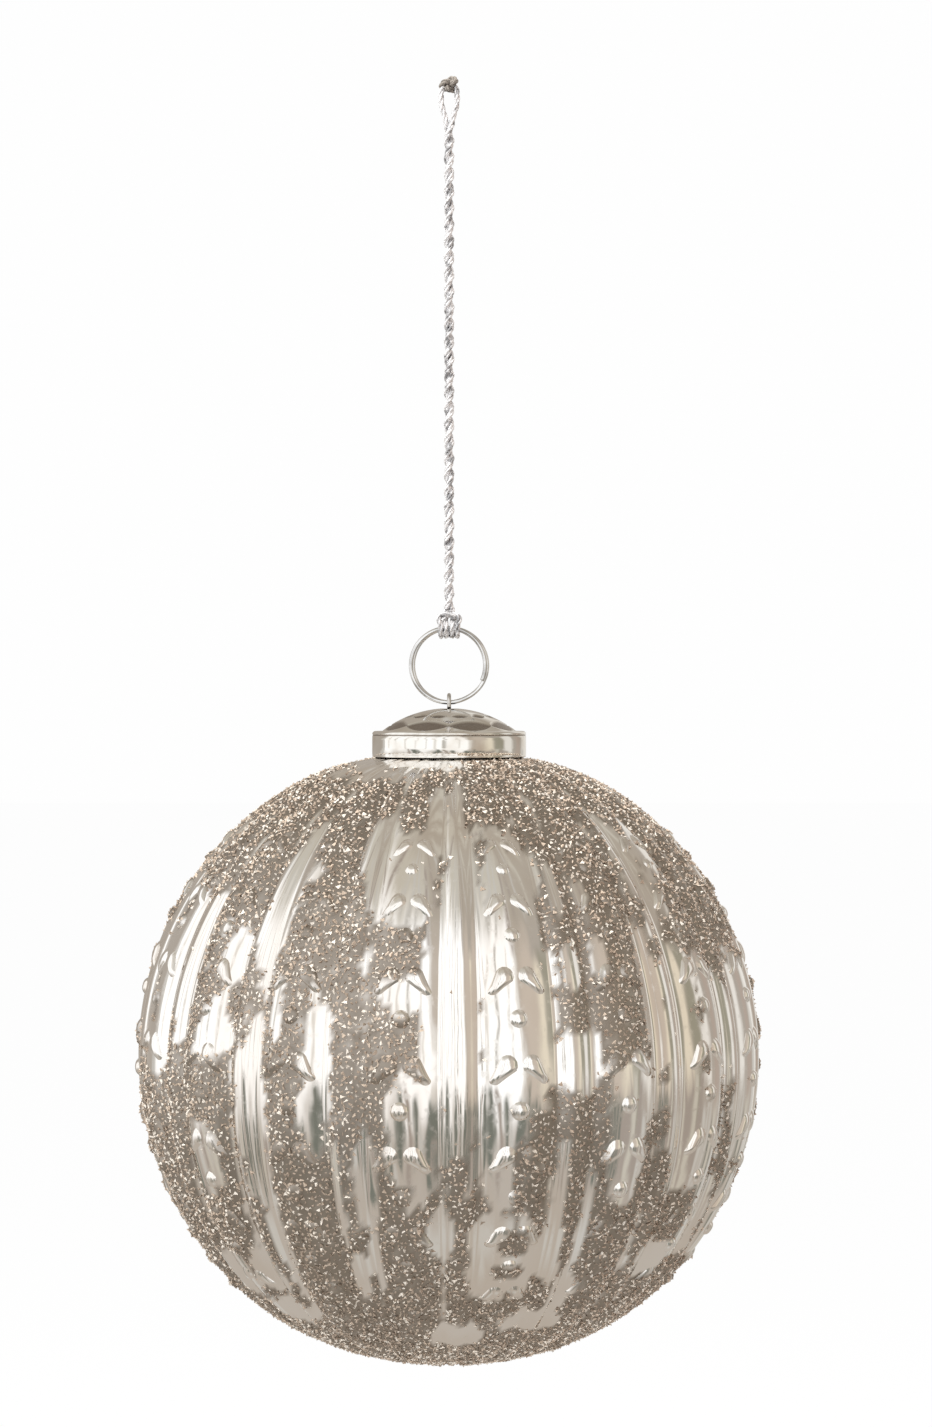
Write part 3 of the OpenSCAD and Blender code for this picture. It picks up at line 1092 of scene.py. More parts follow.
@dataclass
class Hanger:
    """The split ring and the spring wire clip that holds the cap."""

    ring_wire: float = 0.85
    ring_start: float = -24.0
    ring_sweep: float = 662.0
    ring_points: int = 300
    cross_from: float = 302.0
    cross_over: float = 58.0
    ring_pitch: float = 0.89
    ring_shift: float = 0.2
    clip_wire: float = 0.8
    eye_radius: float = 1.5
    eye_points: int = 24
    throat_gap: float = 0.04
    throat_drop: float = 2.1
    throat_flare: Pair = (0.4, 1.2)
    knee_reach: float = 12.0
    knee_round: float = 0.8
    leg: float = 8.0
    leg_lean: float = 1.6
    leg_bow: float = 0.4
    clip_step: float = 0.2
    clip_ease: float = 0.25
    sides: int = 16

    def ring_path(self) -> np.ndarray:
        """Two turns of wire that cross over once."""
        low, high = node_box("split_ring")
        radius = (high[0] - low[0] - self.ring_wire) / 2
        swept = np.linspace(0, self.ring_sweep, self.ring_points)
        turn = np.radians(self.ring_start + swept)
        cross = smooth_ramp(swept, self.cross_from, self.cross_from + self.cross_over)
        side = self.ring_shift * (2 * cross - 1)
        path = np.stack([
            radius * np.cos(turn) + side, self.ring_pitch * (cross - 0.5), radius * np.sin(turn)
        ], axis=1)
        return path + (low + high) / 2 * np.array([1, 0, 1])

    def clip_path(self) -> np.ndarray:
        """One wire: leg, shoulder, throat, eye and back."""
        low, high = node_box("clip")
        eye_z = high[2] - self.eye_radius - self.clip_wire / 2
        throat_y = self.clip_wire / 2 + self.throat_gap
        throat_z = eye_z - self.throat_drop
        knee_z = low[2] + self.leg
        reach = self.knee_reach
        half = np.array([
            [reach - self.leg_lean, knee_z - self.leg], [reach - self.leg_bow, knee_z - self.leg / 2],
            [reach, knee_z], [reach - self.knee_round, knee_z + self.knee_round],
            [throat_y + self.throat_flare[0], throat_z - self.throat_flare[1]], [throat_y, throat_z],
        ])
        start = math.degrees(math.acos(throat_y / self.eye_radius))
        arc = np.radians(np.linspace(-start, 180 + start, self.eye_points))
        eye = np.stack([self.eye_radius * np.cos(arc), eye_z + self.eye_radius * np.sin(arc)], axis=1)
        path = np.concatenate([half, eye, half[::-1] * np.array([-1, 1])])
        return even_path(np.insert(path, 0, 0.0, axis=1), self.clip_step, self.clip_ease)

    def build(self) -> None:
        """Builds and dresses both wires."""
        nickel = Metal.RING.value.material()
        steel = Metal.CLIP.value.material()
        ring = MeshParts().tube(self.ring_path(), self.ring_wire / 2, self.sides)
        seat(ring.piece("split_ring_wire", nickel), Body.RING, ["split_ring"])
        clip = MeshParts().tube(self.clip_path(), self.clip_wire / 2, self.sides)
        seat(clip.piece("clip_spring_wire", steel), Body.CLIP, ["clip"])


# The cap


@dataclass(frozen=True)
class PetalRow:
    """A row of almond petals round the cap's dome."""

    label: str
    petals: int
    radius: float
    length: float
    width: float

    def inputs(self) -> dict[str, float]:
        """The row's inputs of the pressing tree, with its lengths in metres."""
        return {
            f"{self.label} Petals": float(self.petals), f"{self.label} Radius": self.radius * MM,
            f"{self.label} Length": self.length * MM, f"{self.label} Width": self.width * MM,
        }


@dataclass
class PressedCap:
    """The pressed cap: a band, a ledge and a dome with two rows of pressed petals.

    The small forms of its section are points, outwards and up: the step from the dome's foot on the ledge,
    the dark line from the band's top, the band from its rim, and the lining from the rim inside.
    """

    band_radius: float = 15.5
    band_high: float = 5.2
    ledge: float = 2.0
    ledge_edge: float = 0.9
    dome_high: float = 4.6
    dome_gap: float = 0.1
    dome_rows: int = 64
    under_gap: Pair = (0.8, 0.1)
    under_rows: int = 16
    sheet: float = 0.6
    hole_radius: float = 1.75
    edge: float = 0.62
    edge_rows: int = 7
    step: tuple[Pair, ...] = ((0.05, -0.06), (0.3, 0.0))
    line: tuple[Pair, ...] = ((-0.02, -0.66), (-0.12, -0.74), (-0.12, -0.9), (-0.02, -0.98))
    band: tuple[Pair, ...] = (
        (0.0, 3.4), (0.0, 2.0), (0.0, 0.5), (-0.07, 0.38), (-0.02, 0.28), (-0.02, 0.15), (-0.15, 0.0),
    )
    lining: tuple[Pair, ...] = ((0.1, 0.05), (0.0, 0.3))
    lining_gap: float = 0.2
    petals: tuple[PetalRow, ...] = (
        PetalRow("Lower", 8, 11.75, 10.4, 3.4),
        PetalRow("Upper", 12, 8.2, 3.7, 1.9),
    )
    petal_edge: float = 0.35
    press: float = 0.3
    columns: int = 288

    def profile(self) -> tuple[np.ndarray, np.ndarray, np.ndarray]:
        """The cap's closed section.

        Returns:
            Points (radius, height) that run outside from the hole to the rim and back inside, how far each
            point takes part in the pressing of petals, and how far it lies in the band's dark line.
        """
        rim_z = node_box("cap")[0][2]
        ledge_z = rim_z + self.band_high
        roof_z = ledge_z - self.sheet
        wide = self.band_radius
        inner = wide - self.sheet
        foot = wide - self.ledge
        bow = (foot ** 2 + self.dome_high ** 2) / (2 * self.dome_high)
        middle = ledge_z + self.dome_high - bow
        dome_r = np.linspace(self.hole_radius, foot - self.dome_gap, self.dome_rows)
        dome = np.stack([dome_r, middle + np.sqrt(bow ** 2 - dome_r ** 2)], axis=1)
        corner = np.radians(np.linspace(90, 0, self.edge_rows))
        round_r = wide - self.edge + self.edge * np.cos(corner)
        round_z = ledge_z - self.edge + self.edge * np.sin(corner)
        line = np.array(self.line) + (wide, ledge_z)
        under_r = np.linspace(foot - self.under_gap[0], self.hole_radius + self.under_gap[1], self.under_rows)
        under = np.stack([under_r, middle + np.sqrt((bow - self.sheet) ** 2 - under_r ** 2)], axis=1)
        profile = np.concatenate([
            dome, np.array(self.step) + (foot, ledge_z), [[wide - self.ledge_edge, ledge_z]],
            np.stack([round_r, round_z], axis=1), line, np.array(self.band) + (wide, rim_z),
            np.array(self.lining) + (inner, rim_z), [[inner, roof_z], [foot - self.lining_gap, roof_z]],
            under,
        ])
        pressed = (np.arange(len(profile)) < len(dome)).astype(float)
        lined = np.isclose(profile[:, 0], line[:, 0].min()).astype(float)
        return profile, pressed, lined

    def press_tree(self) -> GeometryTree:
        """The tree that presses rows of almond petals into the dome."""
        labels = ["Press", *(label for row in self.petals for label in row.inputs())]
        tree = GeometryTree("petal_press", Float=", ".join(labels))
        x, y, _ = tree.split(tree.position())
        angle = tree.math("ARCTAN2", y, x)
        radius = tree.math("SQRT", x * x + y * y)
        total: Union[Term, float] = 0.0
        for row in self.petals:
            petals, middle, length, width = (tree.given(label) for label in row.inputs())
            pitch = 2 * math.pi / petals
            away = tree.math("WRAP", angle + math.pi / 2 - pitch / 2, pitch / 2, pitch / -2)
            along = away * middle / (length / 2)
            across = abs(radius - middle) / (width / 2)
            total = tree.smooth(1 - along * along - across, 0.0, self.petal_edge) + total
        sunk = total * tree.attribute("pressed")
        dark = tree.math("MAXIMUM", sunk, tree.attribute("lined"))
        marked = tree.stored(tree.given("Geometry"), "sunk", dark)
        tree.end(tree.moved(marked, "Offset", tree.combine(0.0, 0.0, sunk * tree.given("Press") * -1)))
        return tree

    def build(self) -> None:
        """Builds and dresses the cap."""
        profile, pressed, lined = self.profile()
        wrap = len(profile) * self.columns
        faces = grid_faces(len(profile) + 1, self.columns)
        faces = [[i % wrap for i in face[::-1]] for face in faces]
        blank = MeshParts().add(turned(profile, self.columns), faces).piece("cap_blank")
        add_numbers(blank, "pressed", np.repeat(pressed, self.columns))
        add_numbers(blank, "lined", np.repeat(lined, self.columns))
        values: dict[str, object] = {"Press": self.press * MM}
        for row in self.petals:
            values.update(row.inputs())
        values["Material"] = Metal.CAP.value.material()
        cap = self.press_tree().grow(blank, "pressed_cap", values)
        seat(cap, Body.BALL, ["cap"])


# The ball


@dataclass(frozen=True)
class Patch:
    """A patch of the coat, by longitude to the right of the front and latitude, in degrees."""

    lon: float
    lat: float
    half_lon: float
    half_lat: float
    cover: Cover

    def reach(self, lon: np.ndarray, lat: np.ndarray, corner: float) -> np.ndarray:
        """How far out each direction is, with 1 on the patch's edge and corners rounded by a power."""
        side = np.abs((lon - self.lon + 180) % 360 - 180) / self.half_lon
        rise = np.abs(lat - self.lat) / self.half_lat
        return (side ** corner + rise ** corner) ** (1 / corner)


def patches(cover: Cover, *places: tuple[float, float, float, float]) -> tuple[Patch, ...]:
    """Several patches of one kind."""
    return tuple(Patch(*place, cover) for place in places)


FRONT_COAT = patches(
    Cover.BARE,
    (-74, 18, 7, 18), (-63.5, 20, 4, 13), (-56.5, 21, 3, 12), (-65, 4, 4, 5), (-48.5, 26.5, 1.8, 2),
    (-43, 22, 3.2, 5), (-44.5, 10, 4.8, 5), (-35.5, 33, 3.8, 14), (-36, -4, 3.6, 14), (-49, -14, 4.8, 6),
    (-53.5, -38.5, 5.5, 5.5), (-41.8, -36.5, 4.2, 4.5), (-44, -46, 7, 3.5), (-40, -22, 1.3, 14),
    (-34.3, -25, 1.7, 16), (-19.3, -18, 0.9, 9), (-14, -31, 1, 6.5), (-30, 38.5, 2.2, 1.6),
    (-14, 40, 3.6, 10), (-18.5, 45, 1.8, 6), (-22.5, 4, 2.3, 13), (-31, 14, 1.2, 6), (-24, -4, 2.4, 4),
    (-8, 33, 5, 4.5), (-6, 42, 6, 6), (-3, 50, 3, 9), (-6.5, 16.5, 4.8, 3.2), (-3, 9, 1.5, 7),
    (-5.5, -7, 4.5, 11), (-14.2, -15, 2.2, 7.5), (-17.5, -34, 1.7, 5), (2.2, 23, 3.4, 37),
    (-2.5, 14, 1.6, 22), (-1, -25, 2.8, 5), (2.5, -51.5, 6.5, 4.5), (12.6, 23, 6.9, 26),
    (23, 21, 1.4, 4.5), (22.5, 36, 1.1, 6), (28.7, 22.8, 1.5, 3.4),
    (22.2, 5, 5, 5), (32.7, -7, 4, 11), (8.2, -8, 2.6, 12), (21, -31, 1.6, 7), (20.6, -17, 0.8, 9),
    (54.5, -13, 4.5, 8), (26.2, -23, 0.9, 9), (11.2, -30, 7, 9), (19.5, -46.5, 6, 3), (25.7, -39, 2.5, 5.5),
    (26.2, -47.5, 3.5, 2.5), (39.2, 14, 2, 14), (45.7, 6, 5, 19), (54.7, 8, 3.5, 14), (67.2, 2, 6, 18),
    (47.2, -10, 5, 9), (47.2, -33.5, 5.5, 4), (57.2, -27, 4.5, 8), (35, 0, 4.5, 6), (77.2, 0, 8, 21),
    (71.2, -29, 8, 9), (-38, 72.5, 46, 4),
) + patches(
    Cover.SPARSE,
    (28.2, 35, 1.3, 4), (55.2, 42, 4, 8), (46.7, 38, 5, 15), (59.9, 8, 1.8, 10), (-48, 3, 3, 2.5),
    (-36, 66.5, 30, 3.5),
) + patches(
    Cover.GRAINS,
    (-1, 41, 1.3, 2), (19.7, 28, 2, 4), (8.2, 55, 4, 3.5), (12.7, -26.5, 3, 2.6), (12.2, -32.5, 3.2, 1.6),
    (19.2, -38, 2, 3), (48.2, -25.5, 4, 4), (-32.3, 5, 1.2, 5), (-10, 51, 2, 3), (31.2, 6, 1.6, 1.6),
    (2, -13, 1.5, 3), (65.2, 27, 11, 4), (-39.5, 13.5, 3, 5), (-53, -1, 9, 5), (23.6, 13.5, 3.6, 3.6),
    (25.4, 21, 1, 4.5), (20.4, 28, 1.6, 3.5),
)


@dataclass(frozen=True)
class Wander:
    """Noise that closes round the ball, by its size round the ball and along a meridian."""

    around: float
    along: float
    octaves: int
    spot: float = 0.0

    def at(self, lon: np.ndarray, lat: np.ndarray) -> np.ndarray:
        """The noise by direction in degrees, about -1 to 1."""
        turn = np.radians(lon)
        x, y = np.cos(turn) * self.around, np.sin(turn) * self.around
        return wandering(np.stack([x, y, lat / self.along], axis=1) + self.spot, self.octaves)


@dataclass
class Coat:
    """Where the ball wears its coat of grains."""

    front: tuple[Patch, ...] = FRONT_COAT
    front_edge: Pair = (80.0, 66.0)
    front_field: float = 0.5
    patch_corner: float = 2.6
    patch_ragged: float = 0.25
    patch_edge: float = 1.2
    patch_soft: float = 0.4
    drape: Wander = Wander(5.2, 17.0, 3)
    drape_by: float = 0.95
    drape_lift: float = 0.02
    pole_edge: Pair = (34.0, 50.0)
    pole_lift: float = 0.3
    ragged: Wander = Wander(17.0, 4.5, 4)
    ragged_by: float = 0.36
    foot_edge: Pair = (-54.0, -59.0)
    neck_edge: Pair = (74.0, 78.0)
    cluster: Wander = Wander(26.0, 2.6, 2, 9.0)
    cluster_by: float = 0.5
    dense: float = 1.1
    dense_least: float = 0.3
    edge: float = 0.2
    ribs: Pair = (2.2, 20.0)
    worn_at: Pair = (3.1, 1.05)
    worn_by: float = 0.55
    worn: Wander = Wander(7.0, 24.0, 2, 31.0)
    worn_share: Pair = (0.75, 1.2)
    worn_least: float = 0.4
    stray: float = 0.006

    def share(self, lon: np.ndarray, lat: np.ndarray) -> np.ndarray:
        """How much of the glass is covered, by direction in degrees.

        Args:
            lon: longitude to the right of the front.
            lat: latitude.

        Returns:
            From 0, bare, to 1, covered.
        """
        ragged = self.ragged.at(lon, lat)
        field = self.drape_by * self.drape.at(lon, lat)
        field += self.pole_lift * ramp(np.abs(lat), *self.pole_edge) + self.drape_lift
        front = ramp(np.abs(lon), *self.front_edge)
        field = field * (1 - front) + self.front_field * front
        for patch in self.front:
            reach = patch.reach(lon, lat, self.patch_corner) + self.patch_ragged * ragged
            weight = np.clip((self.patch_edge - reach) / self.patch_soft, 0, 1)
            field = field * (1 - weight) + patch.cover.value * weight
        field = field - self.worn_by * front * self.wear(lon, lat)
        for cover, edge in ((Cover.GRAINS, self.foot_edge), (Cover.BARE, self.neck_edge)):
            weight = ramp(lat, *edge)
            field = field * (1 - weight) + cover.value * weight
        dense = np.clip(self.dense + self.cluster_by * self.cluster.at(lon, lat), self.dense_least, 1)
        return dense * np.clip((field + self.ragged_by * ragged) / self.edge + 0.5, 0, 1)

    def wear(self, lon: np.ndarray, lat: np.ndarray) -> np.ndarray:
        """How far the coat is rubbed off along the groove at each side of a rib, from 0 to 1."""
        first, pitch = self.ribs
        away = np.abs((lon - first + pitch / 2) % pitch - pitch / 2)
        width = self.worn_at[1] / np.maximum(np.cos(np.radians(lat)), self.worn_least)
        groove = np.exp(-(((away - self.worn_at[0]) / width) ** 2))
        mean, vary = self.worn_share
        return groove * np.clip(mean + vary * self.worn.at(lon, lat), 0, 1)


@dataclass
class GlassBall:
    """The mould-blown ball: fluted panels, narrow ribs, sprigs of drops and beads, and the coat."""

    coat: Coat
    crown_radius: float = 62.35
    panels: int = 18
    rib_angle: float = 6.2
    turn: float = 2.2
    groove: float = 1.5
    rib_drop: float = 0.25
    valley: float = 0.22
    flute_fade: float = 7.0
    foot_drop: float = 1.25
    foot_bow: float = 75.0
    shoulder_drop: float = 1.95
    shoulder_bow: float = 103.0
    blend: float = 0.8
    skirt_gap: float = 0.2
    neck_lat: float = 75.88
    neck_radius: float = 14.3
    neck_rise: float = 0.8
    lip_outside: Pair = (0.4, 0.5)
    lip_inside: Pair = (0.3, 0.4)
    bore_radius: float = 12.7
    bore_drop: float = 2.0
    hollow_radius: float = 60.0
    hollow_lat: float = 74.0
    hollow_rows: int = 24
    foot_wall: float = 3.4
    roof_wall: float = 3.0
    columns: int = 432
    rows: int = 160
    sprig_rows: int = 7
    sprig_first: float = -0.725
    sprig_step: float = 0.264
    levels: tuple[Pair, ...] = ((1.12, -0.08), (0.97, 0.26), (0.8, 0.6), (0.55, 0.87), (0.28, 0.98))
    bead_below: float = 0.112
    bead_radius: float = 1.65
    bead_rise: float = 0.76
    bead_points: int = 12
    drop_head: float = 1.7
    drop_tail: float = 0.85
    drop_bend: float = 0.04
    drop_rise: float = 0.74
    drop_peak: float = 0.3
    drop_points: int = 8
    drop_place: Pair = (2.3, 1.2)
    drop_tip: Pair = (4.1, -1.55)
    ray_from: float = 1.3
    grain_gap: float = 0.66
    grain_crowd: float = 1.6
    grain_corners: tuple[Triple, ...] = (
        (0.5, 0, 0), (-0.3, 0.5, 0), (-0.3, -0.5, 0), (0, 0, 0.55), (0, 0, -0.55),
    )
    grain_size: float = 0.94
    grain_spread: Pair = (0.72, 1.28)
    grain_skew: float = 0.12
    grain_sink: float = 0.14
    seed: int = 11
    pick_seed: int = 3
    tumble_seed: int = 5
    size_seed: int = 7

    def __post_init__(self) -> None:
        """Reads the ball's place from the frame."""
        low, high = node_box("glass_ball")
        self.foot_z, self.rim_z = low[2], high[2]
        edge = self.shoulder(np.array(PressedCap.band_radius))
        self.middle = node_box("cap")[0][2] - self.skirt_gap - float(edge)
        pitch = 2 * math.pi / self.panels
        self.first_panel = math.radians(self.turn) - math.pi / 2 + pitch / 2

    def shoulder(self, radius: np.ndarray) -> np.ndarray:
        """Height of the flatter shoulder above the ball's middle, by distance from the axis."""
        top = self.crown_radius - self.shoulder_drop
        return top - self.shoulder_bow + np.sqrt(self.shoulder_bow ** 2 - radius ** 2)

    def foot(self, radius: np.ndarray) -> np.ndarray:
        """Height of the flatter foot above the ball's middle, by distance from the axis."""
        return -self.crown_radius + self.foot_drop + self.foot_bow - np.sqrt(self.foot_bow ** 2 - radius ** 2)

    def profile(self) -> tuple[np.ndarray, np.ndarray, np.ndarray]:
        """The ball's section, outside from the foot to the rim and back inside to the foot.

        Returns:
            Points (radius, height), the latitude of each, and how far each takes part in the fluting.
        """
        lat = np.linspace(-90, self.neck_lat, self.rows)
        radius = self.crown_radius * np.cos(np.radians(lat))
        height = self.crown_radius * np.sin(np.radians(lat))
        for limit, sign in ((self.shoulder(radius), -1), (self.foot(radius), 1)):
            height = (height + limit + sign * np.sqrt((height - limit) ** 2 + self.blend ** 2)) / 2
        height = height + self.middle
        radius[0] = 0.0
        flute = np.cos(np.radians(lat)) * np.clip((self.neck_lat - lat) / self.flute_fade, 0, 1)
        neck_z = height[-1]
        outer, bore, rim_z = self.neck_radius, self.bore_radius, self.rim_z
        neck = np.array([
            [outer, neck_z + self.neck_rise], [outer, rim_z - self.lip_outside[1]],
            [outer - self.lip_outside[0], rim_z], [bore + self.lip_inside[0], rim_z],
            [bore, rim_z - self.lip_inside[1]], [bore, neck_z - self.bore_drop],
        ])
        inner_lat = np.radians(np.linspace(self.hollow_lat, -90, self.hollow_rows))
        inner_z = self.middle + self.hollow_radius * np.sin(inner_lat)
        inner_z = np.minimum(np.maximum(inner_z, self.foot_z + self.foot_wall), neck_z - self.roof_wall)
        inner = np.stack([self.hollow_radius * np.cos(inner_lat), inner_z], axis=1)
        inner[-1, 0] = 0.0
        profile = np.concatenate([np.stack([radius, height], axis=1), neck, inner])
        extra = len(profile) - len(lat)
        return profile, np.append(lat, np.full(extra, 90.0)), np.append(flute, np.zeros(extra))

    def blank(self) -> bpy.types.Object:
        """The plain turned ball with what the fluting and the coat need at each point."""
        profile, lat, flute = self.profile()
        points, faces = lathe(profile, self.columns)
        blank = MeshParts().add(points, faces).piece("ball_blank")
        columns = np.repeat(np.stack([lat, flute], axis=1)[1:-1], self.columns, axis=0)
        columns = np.concatenate([columns, [[lat[0], flute[0]], [lat[-1], flute[-1]]]])
        lon = np.degrees(np.arctan2(points[:, 0], -points[:, 1]))
        covered = np.zeros(len(points))
        outside = columns[:, 0] < self.neck_lat
        covered[outside] = self.coat.share(lon[outside], columns[outside, 0])
        add_numbers(blank, "flute", columns[:, 1])
        add_numbers(blank, "coat", covered)
        return blank

    @staticmethod
    def flute_tree() -> GeometryTree:
        """The tree that sinks the grooves between wide panels and narrow ribs."""
        labels = "Panels, First Panel, Rib Angle, Groove, Rib Drop, Valley"
        tree = GeometryTree("panel_flutes", Float=labels, Vector="Middle")
        panels, first, angle, groove, drop, valley = (tree.given(label) for label in labels.split(", "))
        spot = tree.vector("SUBTRACT", tree.position(), tree.given("Middle"))
        x, y, _ = tree.split(spot)
        pitch = 2 * math.pi / panels
        rib = angle / 2
        panel = pitch / 2 - rib
        away = abs(tree.math("WRAP", tree.math("ARCTAN2", y, x) - first, pitch / 2, pitch / -2))
        side = away / panel
        crest = (away - panel - rib) / rib
        ribbed = drop + (groove - drop) * crest * crest
        sunk = tree.math("SMOOTH_MIN", groove * side * side, ribbed, valley)
        inward = tree.scaled(tree.vector("NORMALIZE", spot), sunk * tree.attribute("flute") * -1)
        tree.end(tree.moved(tree.given("Geometry"), "Offset", inward))
        return tree

    def sprig_shape(self) -> bpy.types.Object:
        """Two drops and the bead under them, flat, with their rise at each point."""
        parts = MeshParts()
        rises: list[float] = []

        def dome(outline: np.ndarray, middle: np.ndarray, rise: float) -> None:
            """Adds one low dome on an outline."""
            count = len(outline)
            rings = [middle + (outline - middle) * scale for scale, _ in self.levels]
            points = np.concatenate([*rings, [middle]])
            faces = grid_faces(len(self.levels), count)
            base = (len(self.levels) - 1) * count
            faces += [[base + i, base + (i + 1) % count, len(points) - 1] for i in range(count)]
            parts.add(np.insert(points, 2, 0.0, axis=1), faces)
            rises.extend(np.repeat([high * rise for _, high in self.levels], count))
            rises.append(rise)

        head, tail = np.array(self.drop_place), np.array(self.drop_tip)
        axis = (tail - head) / np.linalg.norm(tail - head)
        cross = np.array([-axis[1], axis[0]])
        ends = []
        for middle, radius, start in ((head, self.drop_head, 90), (tail, self.drop_tail, -90)):
            turn = np.radians(np.linspace(start, start + 180, self.drop_points))
            ends.append(middle + radius * (np.cos(turn)[:, None] * axis + np.sin(turn)[:, None] * cross))
        outline = np.concatenate(ends)
        outline += cross * self.drop_bend * (((outline - head) @ axis) ** 2)[:, None]
        for side in (-1, 1):
            mirror = np.array([side, 1])
            dome((outline * mirror)[::side], (head + self.drop_peak * (tail - head)) * mirror, self.drop_rise)
        around = np.radians(np.linspace(0, 360, self.bead_points, endpoint=False))
        below = np.array([0.0, -self.bead_below * self.crown_radius])
        bead = below + self.bead_radius * np.stack([np.cos(around), np.sin(around)], axis=1)
        dome(bead, below, self.bead_rise)
        sprig = parts.piece("sprig_shape")
        add_numbers(sprig, "rise", np.array(rises) * MM)
        return sprig

    def sprig_tree(self) -> GeometryTree:
        """The tree that sets a sprig at each step of each panel and lays it on the glass."""
        tree = GeometryTree(
            "panel_sprigs", Float="Panels, First Panel, First Row, Row Step, Radius", Int="Rows, Count",
            Vector="Middle", Object="Sprig, Glass",
        )
        line = tree.get("GeometryNodeMeshLine", {"Count": tree.given("Count")})
        index = tree.get("GeometryNodeInputIndex")
        panel = tree.math("FLOOR", index / tree.given("Rows"))
        row = index - panel * tree.given("Rows")
        lon = tree.given("First Panel") + panel * (2 * math.pi / tree.given("Panels"))
        climb = tree.given("First Row") + row * tree.given("Row Step")
        lat = 2 * tree.math("ARCTANGENT", tree.math("EXPONENT", climb)) - math.pi / 2
        flat = tree.math("COSINE", lat)
        outward = tree.combine(
            flat * tree.math("COSINE", lon), flat * tree.math("SINE", lon), tree.math("SINE", lat)
        )
        middle = tree.given("Middle")
        spot = tree.vector("ADD", middle, tree.scaled(outward, tree.given("Radius")))
        upright = tree.get(
            "FunctionNodeAxesToRotation", {"Primary Axis": outward, "Secondary Axis": (0.0, 0.0, 1.0)},
            primary_axis="Z", secondary_axis="Y",
        )
        sized = tree.stored(tree.moved(line, "Position", spot), "size", flat)
        real = tree.real(tree.strewn(sized, tree.shape("Sprig"), upright, flat))
        away = tree.vector("NORMALIZE", tree.vector("SUBTRACT", tree.position(), middle))
        source = tree.vector("ADD", middle, tree.scaled(away, tree.given("Radius") * self.ray_from))
        ray = tree.node("GeometryNodeRaycast", {
            "Target Geometry": tree.shape("Glass"), "Attribute": tree.attribute("coat"),
            "Source Position": source, "Ray Direction": tree.scaled(away, -1.0),
            "Ray Length": tree.given("Radius"),
        }, data_type="FLOAT")
        rise = tree.scaled(tree.out(ray, "Hit Normal"), tree.attribute("rise") * tree.attribute("size"))
        laid = tree.moved(real, "Position", tree.vector("ADD", tree.out(ray, "Hit Position"), rise))
        tree.end(tree.stored(laid, "coat", tree.out(ray, "Attribute")))
        return tree

    def grain_shape(self, tone: GrainTone) -> bpy.types.Object:
        """A rough crystal with six facets."""
        draw = np.random.default_rng(self.seed + len(tone.name))
        corner = np.array(self.grain_corners)
        corner = corner + draw.uniform(-self.grain_skew, self.grain_skew, corner.shape)
        faces = [[i, (i + 1) % 3, 3] for i in range(3)] + [[(i + 1) % 3, i, 4] for i in range(3)]
        crystal = MeshParts().add(corner * self.grain_size, faces).piece(f"{tone.value.name}_shape")
        crystal.data.polygons.foreach_set("use_smooth", [False] * len(faces))
        return crystal

    def grain_tree(self) -> GeometryTree:
        """The tree that scatters the grains of one tone over the coat."""
        tree = GeometryTree("grain_coat", Float="Gap, Sink, Stray", Int="Tone, Seed", Object="Grain, Sprigs")
        sprigs = tree.shape("Sprigs")
        joined = tree.node("GeometryNodeJoinGeometry", {"Geometry": tree.given("Geometry")})
        tree.data.links.new(sprigs.socket, joined.inputs[0])
        gap = tree.given("Gap")
        spread = tree.node("GeometryNodeDistributePointsOnFaces", {
            "Mesh": tree.out(joined), "Distance Min": gap, "Density Max": self.grain_crowd / (gap * gap),
            "Density Factor": tree.math("MAXIMUM", tree.attribute("coat"), tree.given("Stray")),
            "Seed": tree.given("Seed"),
        }, distribute_method="POISSON")
        inward = tree.scaled(tree.out(spread, "Normal"), tree.given("Sink") * -1)
        points = tree.moved(tree.out(spread), "Offset", inward)
        drawn = {4: 0, 5: len(GrainTone) - 1, "Seed": self.pick_seed}
        pick = tree.get("FunctionNodeRandomValue", drawn, 2, data_type="INT")
        pair = {"A_INT": pick, "B_INT": tree.given("Tone")}
        same = tree.get("FunctionNodeCompare", pair, data_type="INT", operation="EQUAL")
        chosen = {"Geometry": points, "Selection": same}
        kept = tree.get("GeometryNodeSeparateGeometry", chosen, domain="POINT")
        drawn = {0: (0.0, 0.0, 0.0), 1: (2 * math.pi,) * 3, "Seed": self.tumble_seed}
        tumble = tree.get("FunctionNodeRandomValue", drawn, 0, data_type="FLOAT_VECTOR")
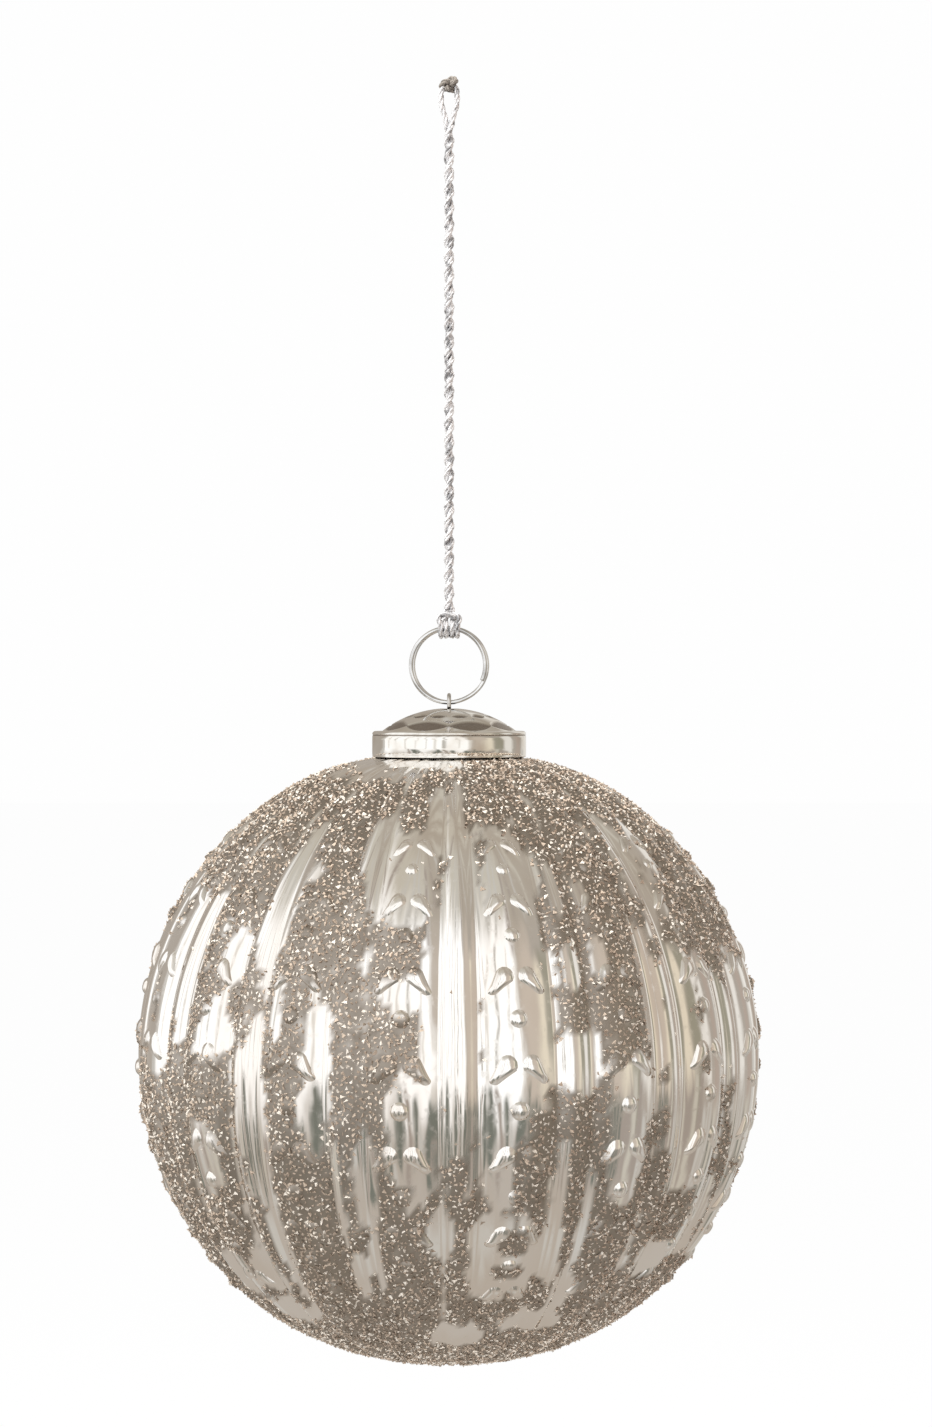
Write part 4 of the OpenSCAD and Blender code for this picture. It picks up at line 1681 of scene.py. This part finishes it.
        drawn = {2: self.grain_spread[0], 3: self.grain_spread[1], "Seed": self.size_seed}
        size = tree.get("FunctionNodeRandomValue", drawn, 1, data_type="FLOAT")
        rotation = tree.get("FunctionNodeEulerToRotation", {"Euler": tumble})
        tree.end(tree.strewn(kept, tree.shape("Grain"), rotation, size))
        return tree

    def build(self) -> None:
        """Builds and dresses the ball."""
        glass = SilveredGlass().material()
        shared = {
            "Panels": float(self.panels), "First Panel": self.first_panel,
            "Middle": (0.0, 0.0, self.middle * MM), "Material": glass,
        }
        skin = self.flute_tree().grow(self.blank(), "ball_glass", {
            **shared, "Rib Angle": math.radians(self.rib_angle), "Groove": self.groove * MM,
            "Rib Drop": self.rib_drop * MM, "Valley": self.valley * MM,
        })
        shape = self.sprig_shape()
        host = new_object("sprig_host", bpy.data.meshes.new("sprig_host"))
        sprigs = self.sprig_tree().grow(host, "ball_drops_and_beads", {
            **shared, "Rows": self.sprig_rows, "Count": self.panels * self.sprig_rows,
            "First Row": self.sprig_first, "Row Step": self.sprig_step, "Radius": self.crown_radius * MM,
            "Sprig": shape, "Glass": skin,
        })
        bpy.data.objects.remove(shape)
        tree = self.grain_tree()
        coats = []
        for number, tone in enumerate(GrainTone):
            crystal = self.grain_shape(tone)
            host = new_object(f"{tone.value.name}_host", skin.data.copy())
            coats.append(tree.grow(host, f"coat_{tone.value.name}", {
                "Gap": self.grain_gap * MM, "Sink": self.grain_sink * MM, "Stray": self.coat.stray,
                "Tone": number, "Seed": self.seed, "Grain": crystal, "Sprigs": sprigs,
                "Material": tone.value.material(),
            }))
            bpy.data.objects.remove(crystal)
        seat(skin, Body.BALL, ["glass_ball"])
        for piece in (sprigs, *coats):
            seat(piece, Body.BALL)


def main() -> None:
    """Builds the studio and the ornament."""
    logging.basicConfig(level=logging.INFO, format="%(name)s %(message)s")
    studio = Studio()
    studio.set_camera()
    Cord(Yarn()).build()
    Hanger().build()
    PressedCap().build()
    ball = GlassBall(Coat())
    ball.build()
    studio.light(ball.middle, ball.foot_z)


if __name__ == "__main__":
    main()
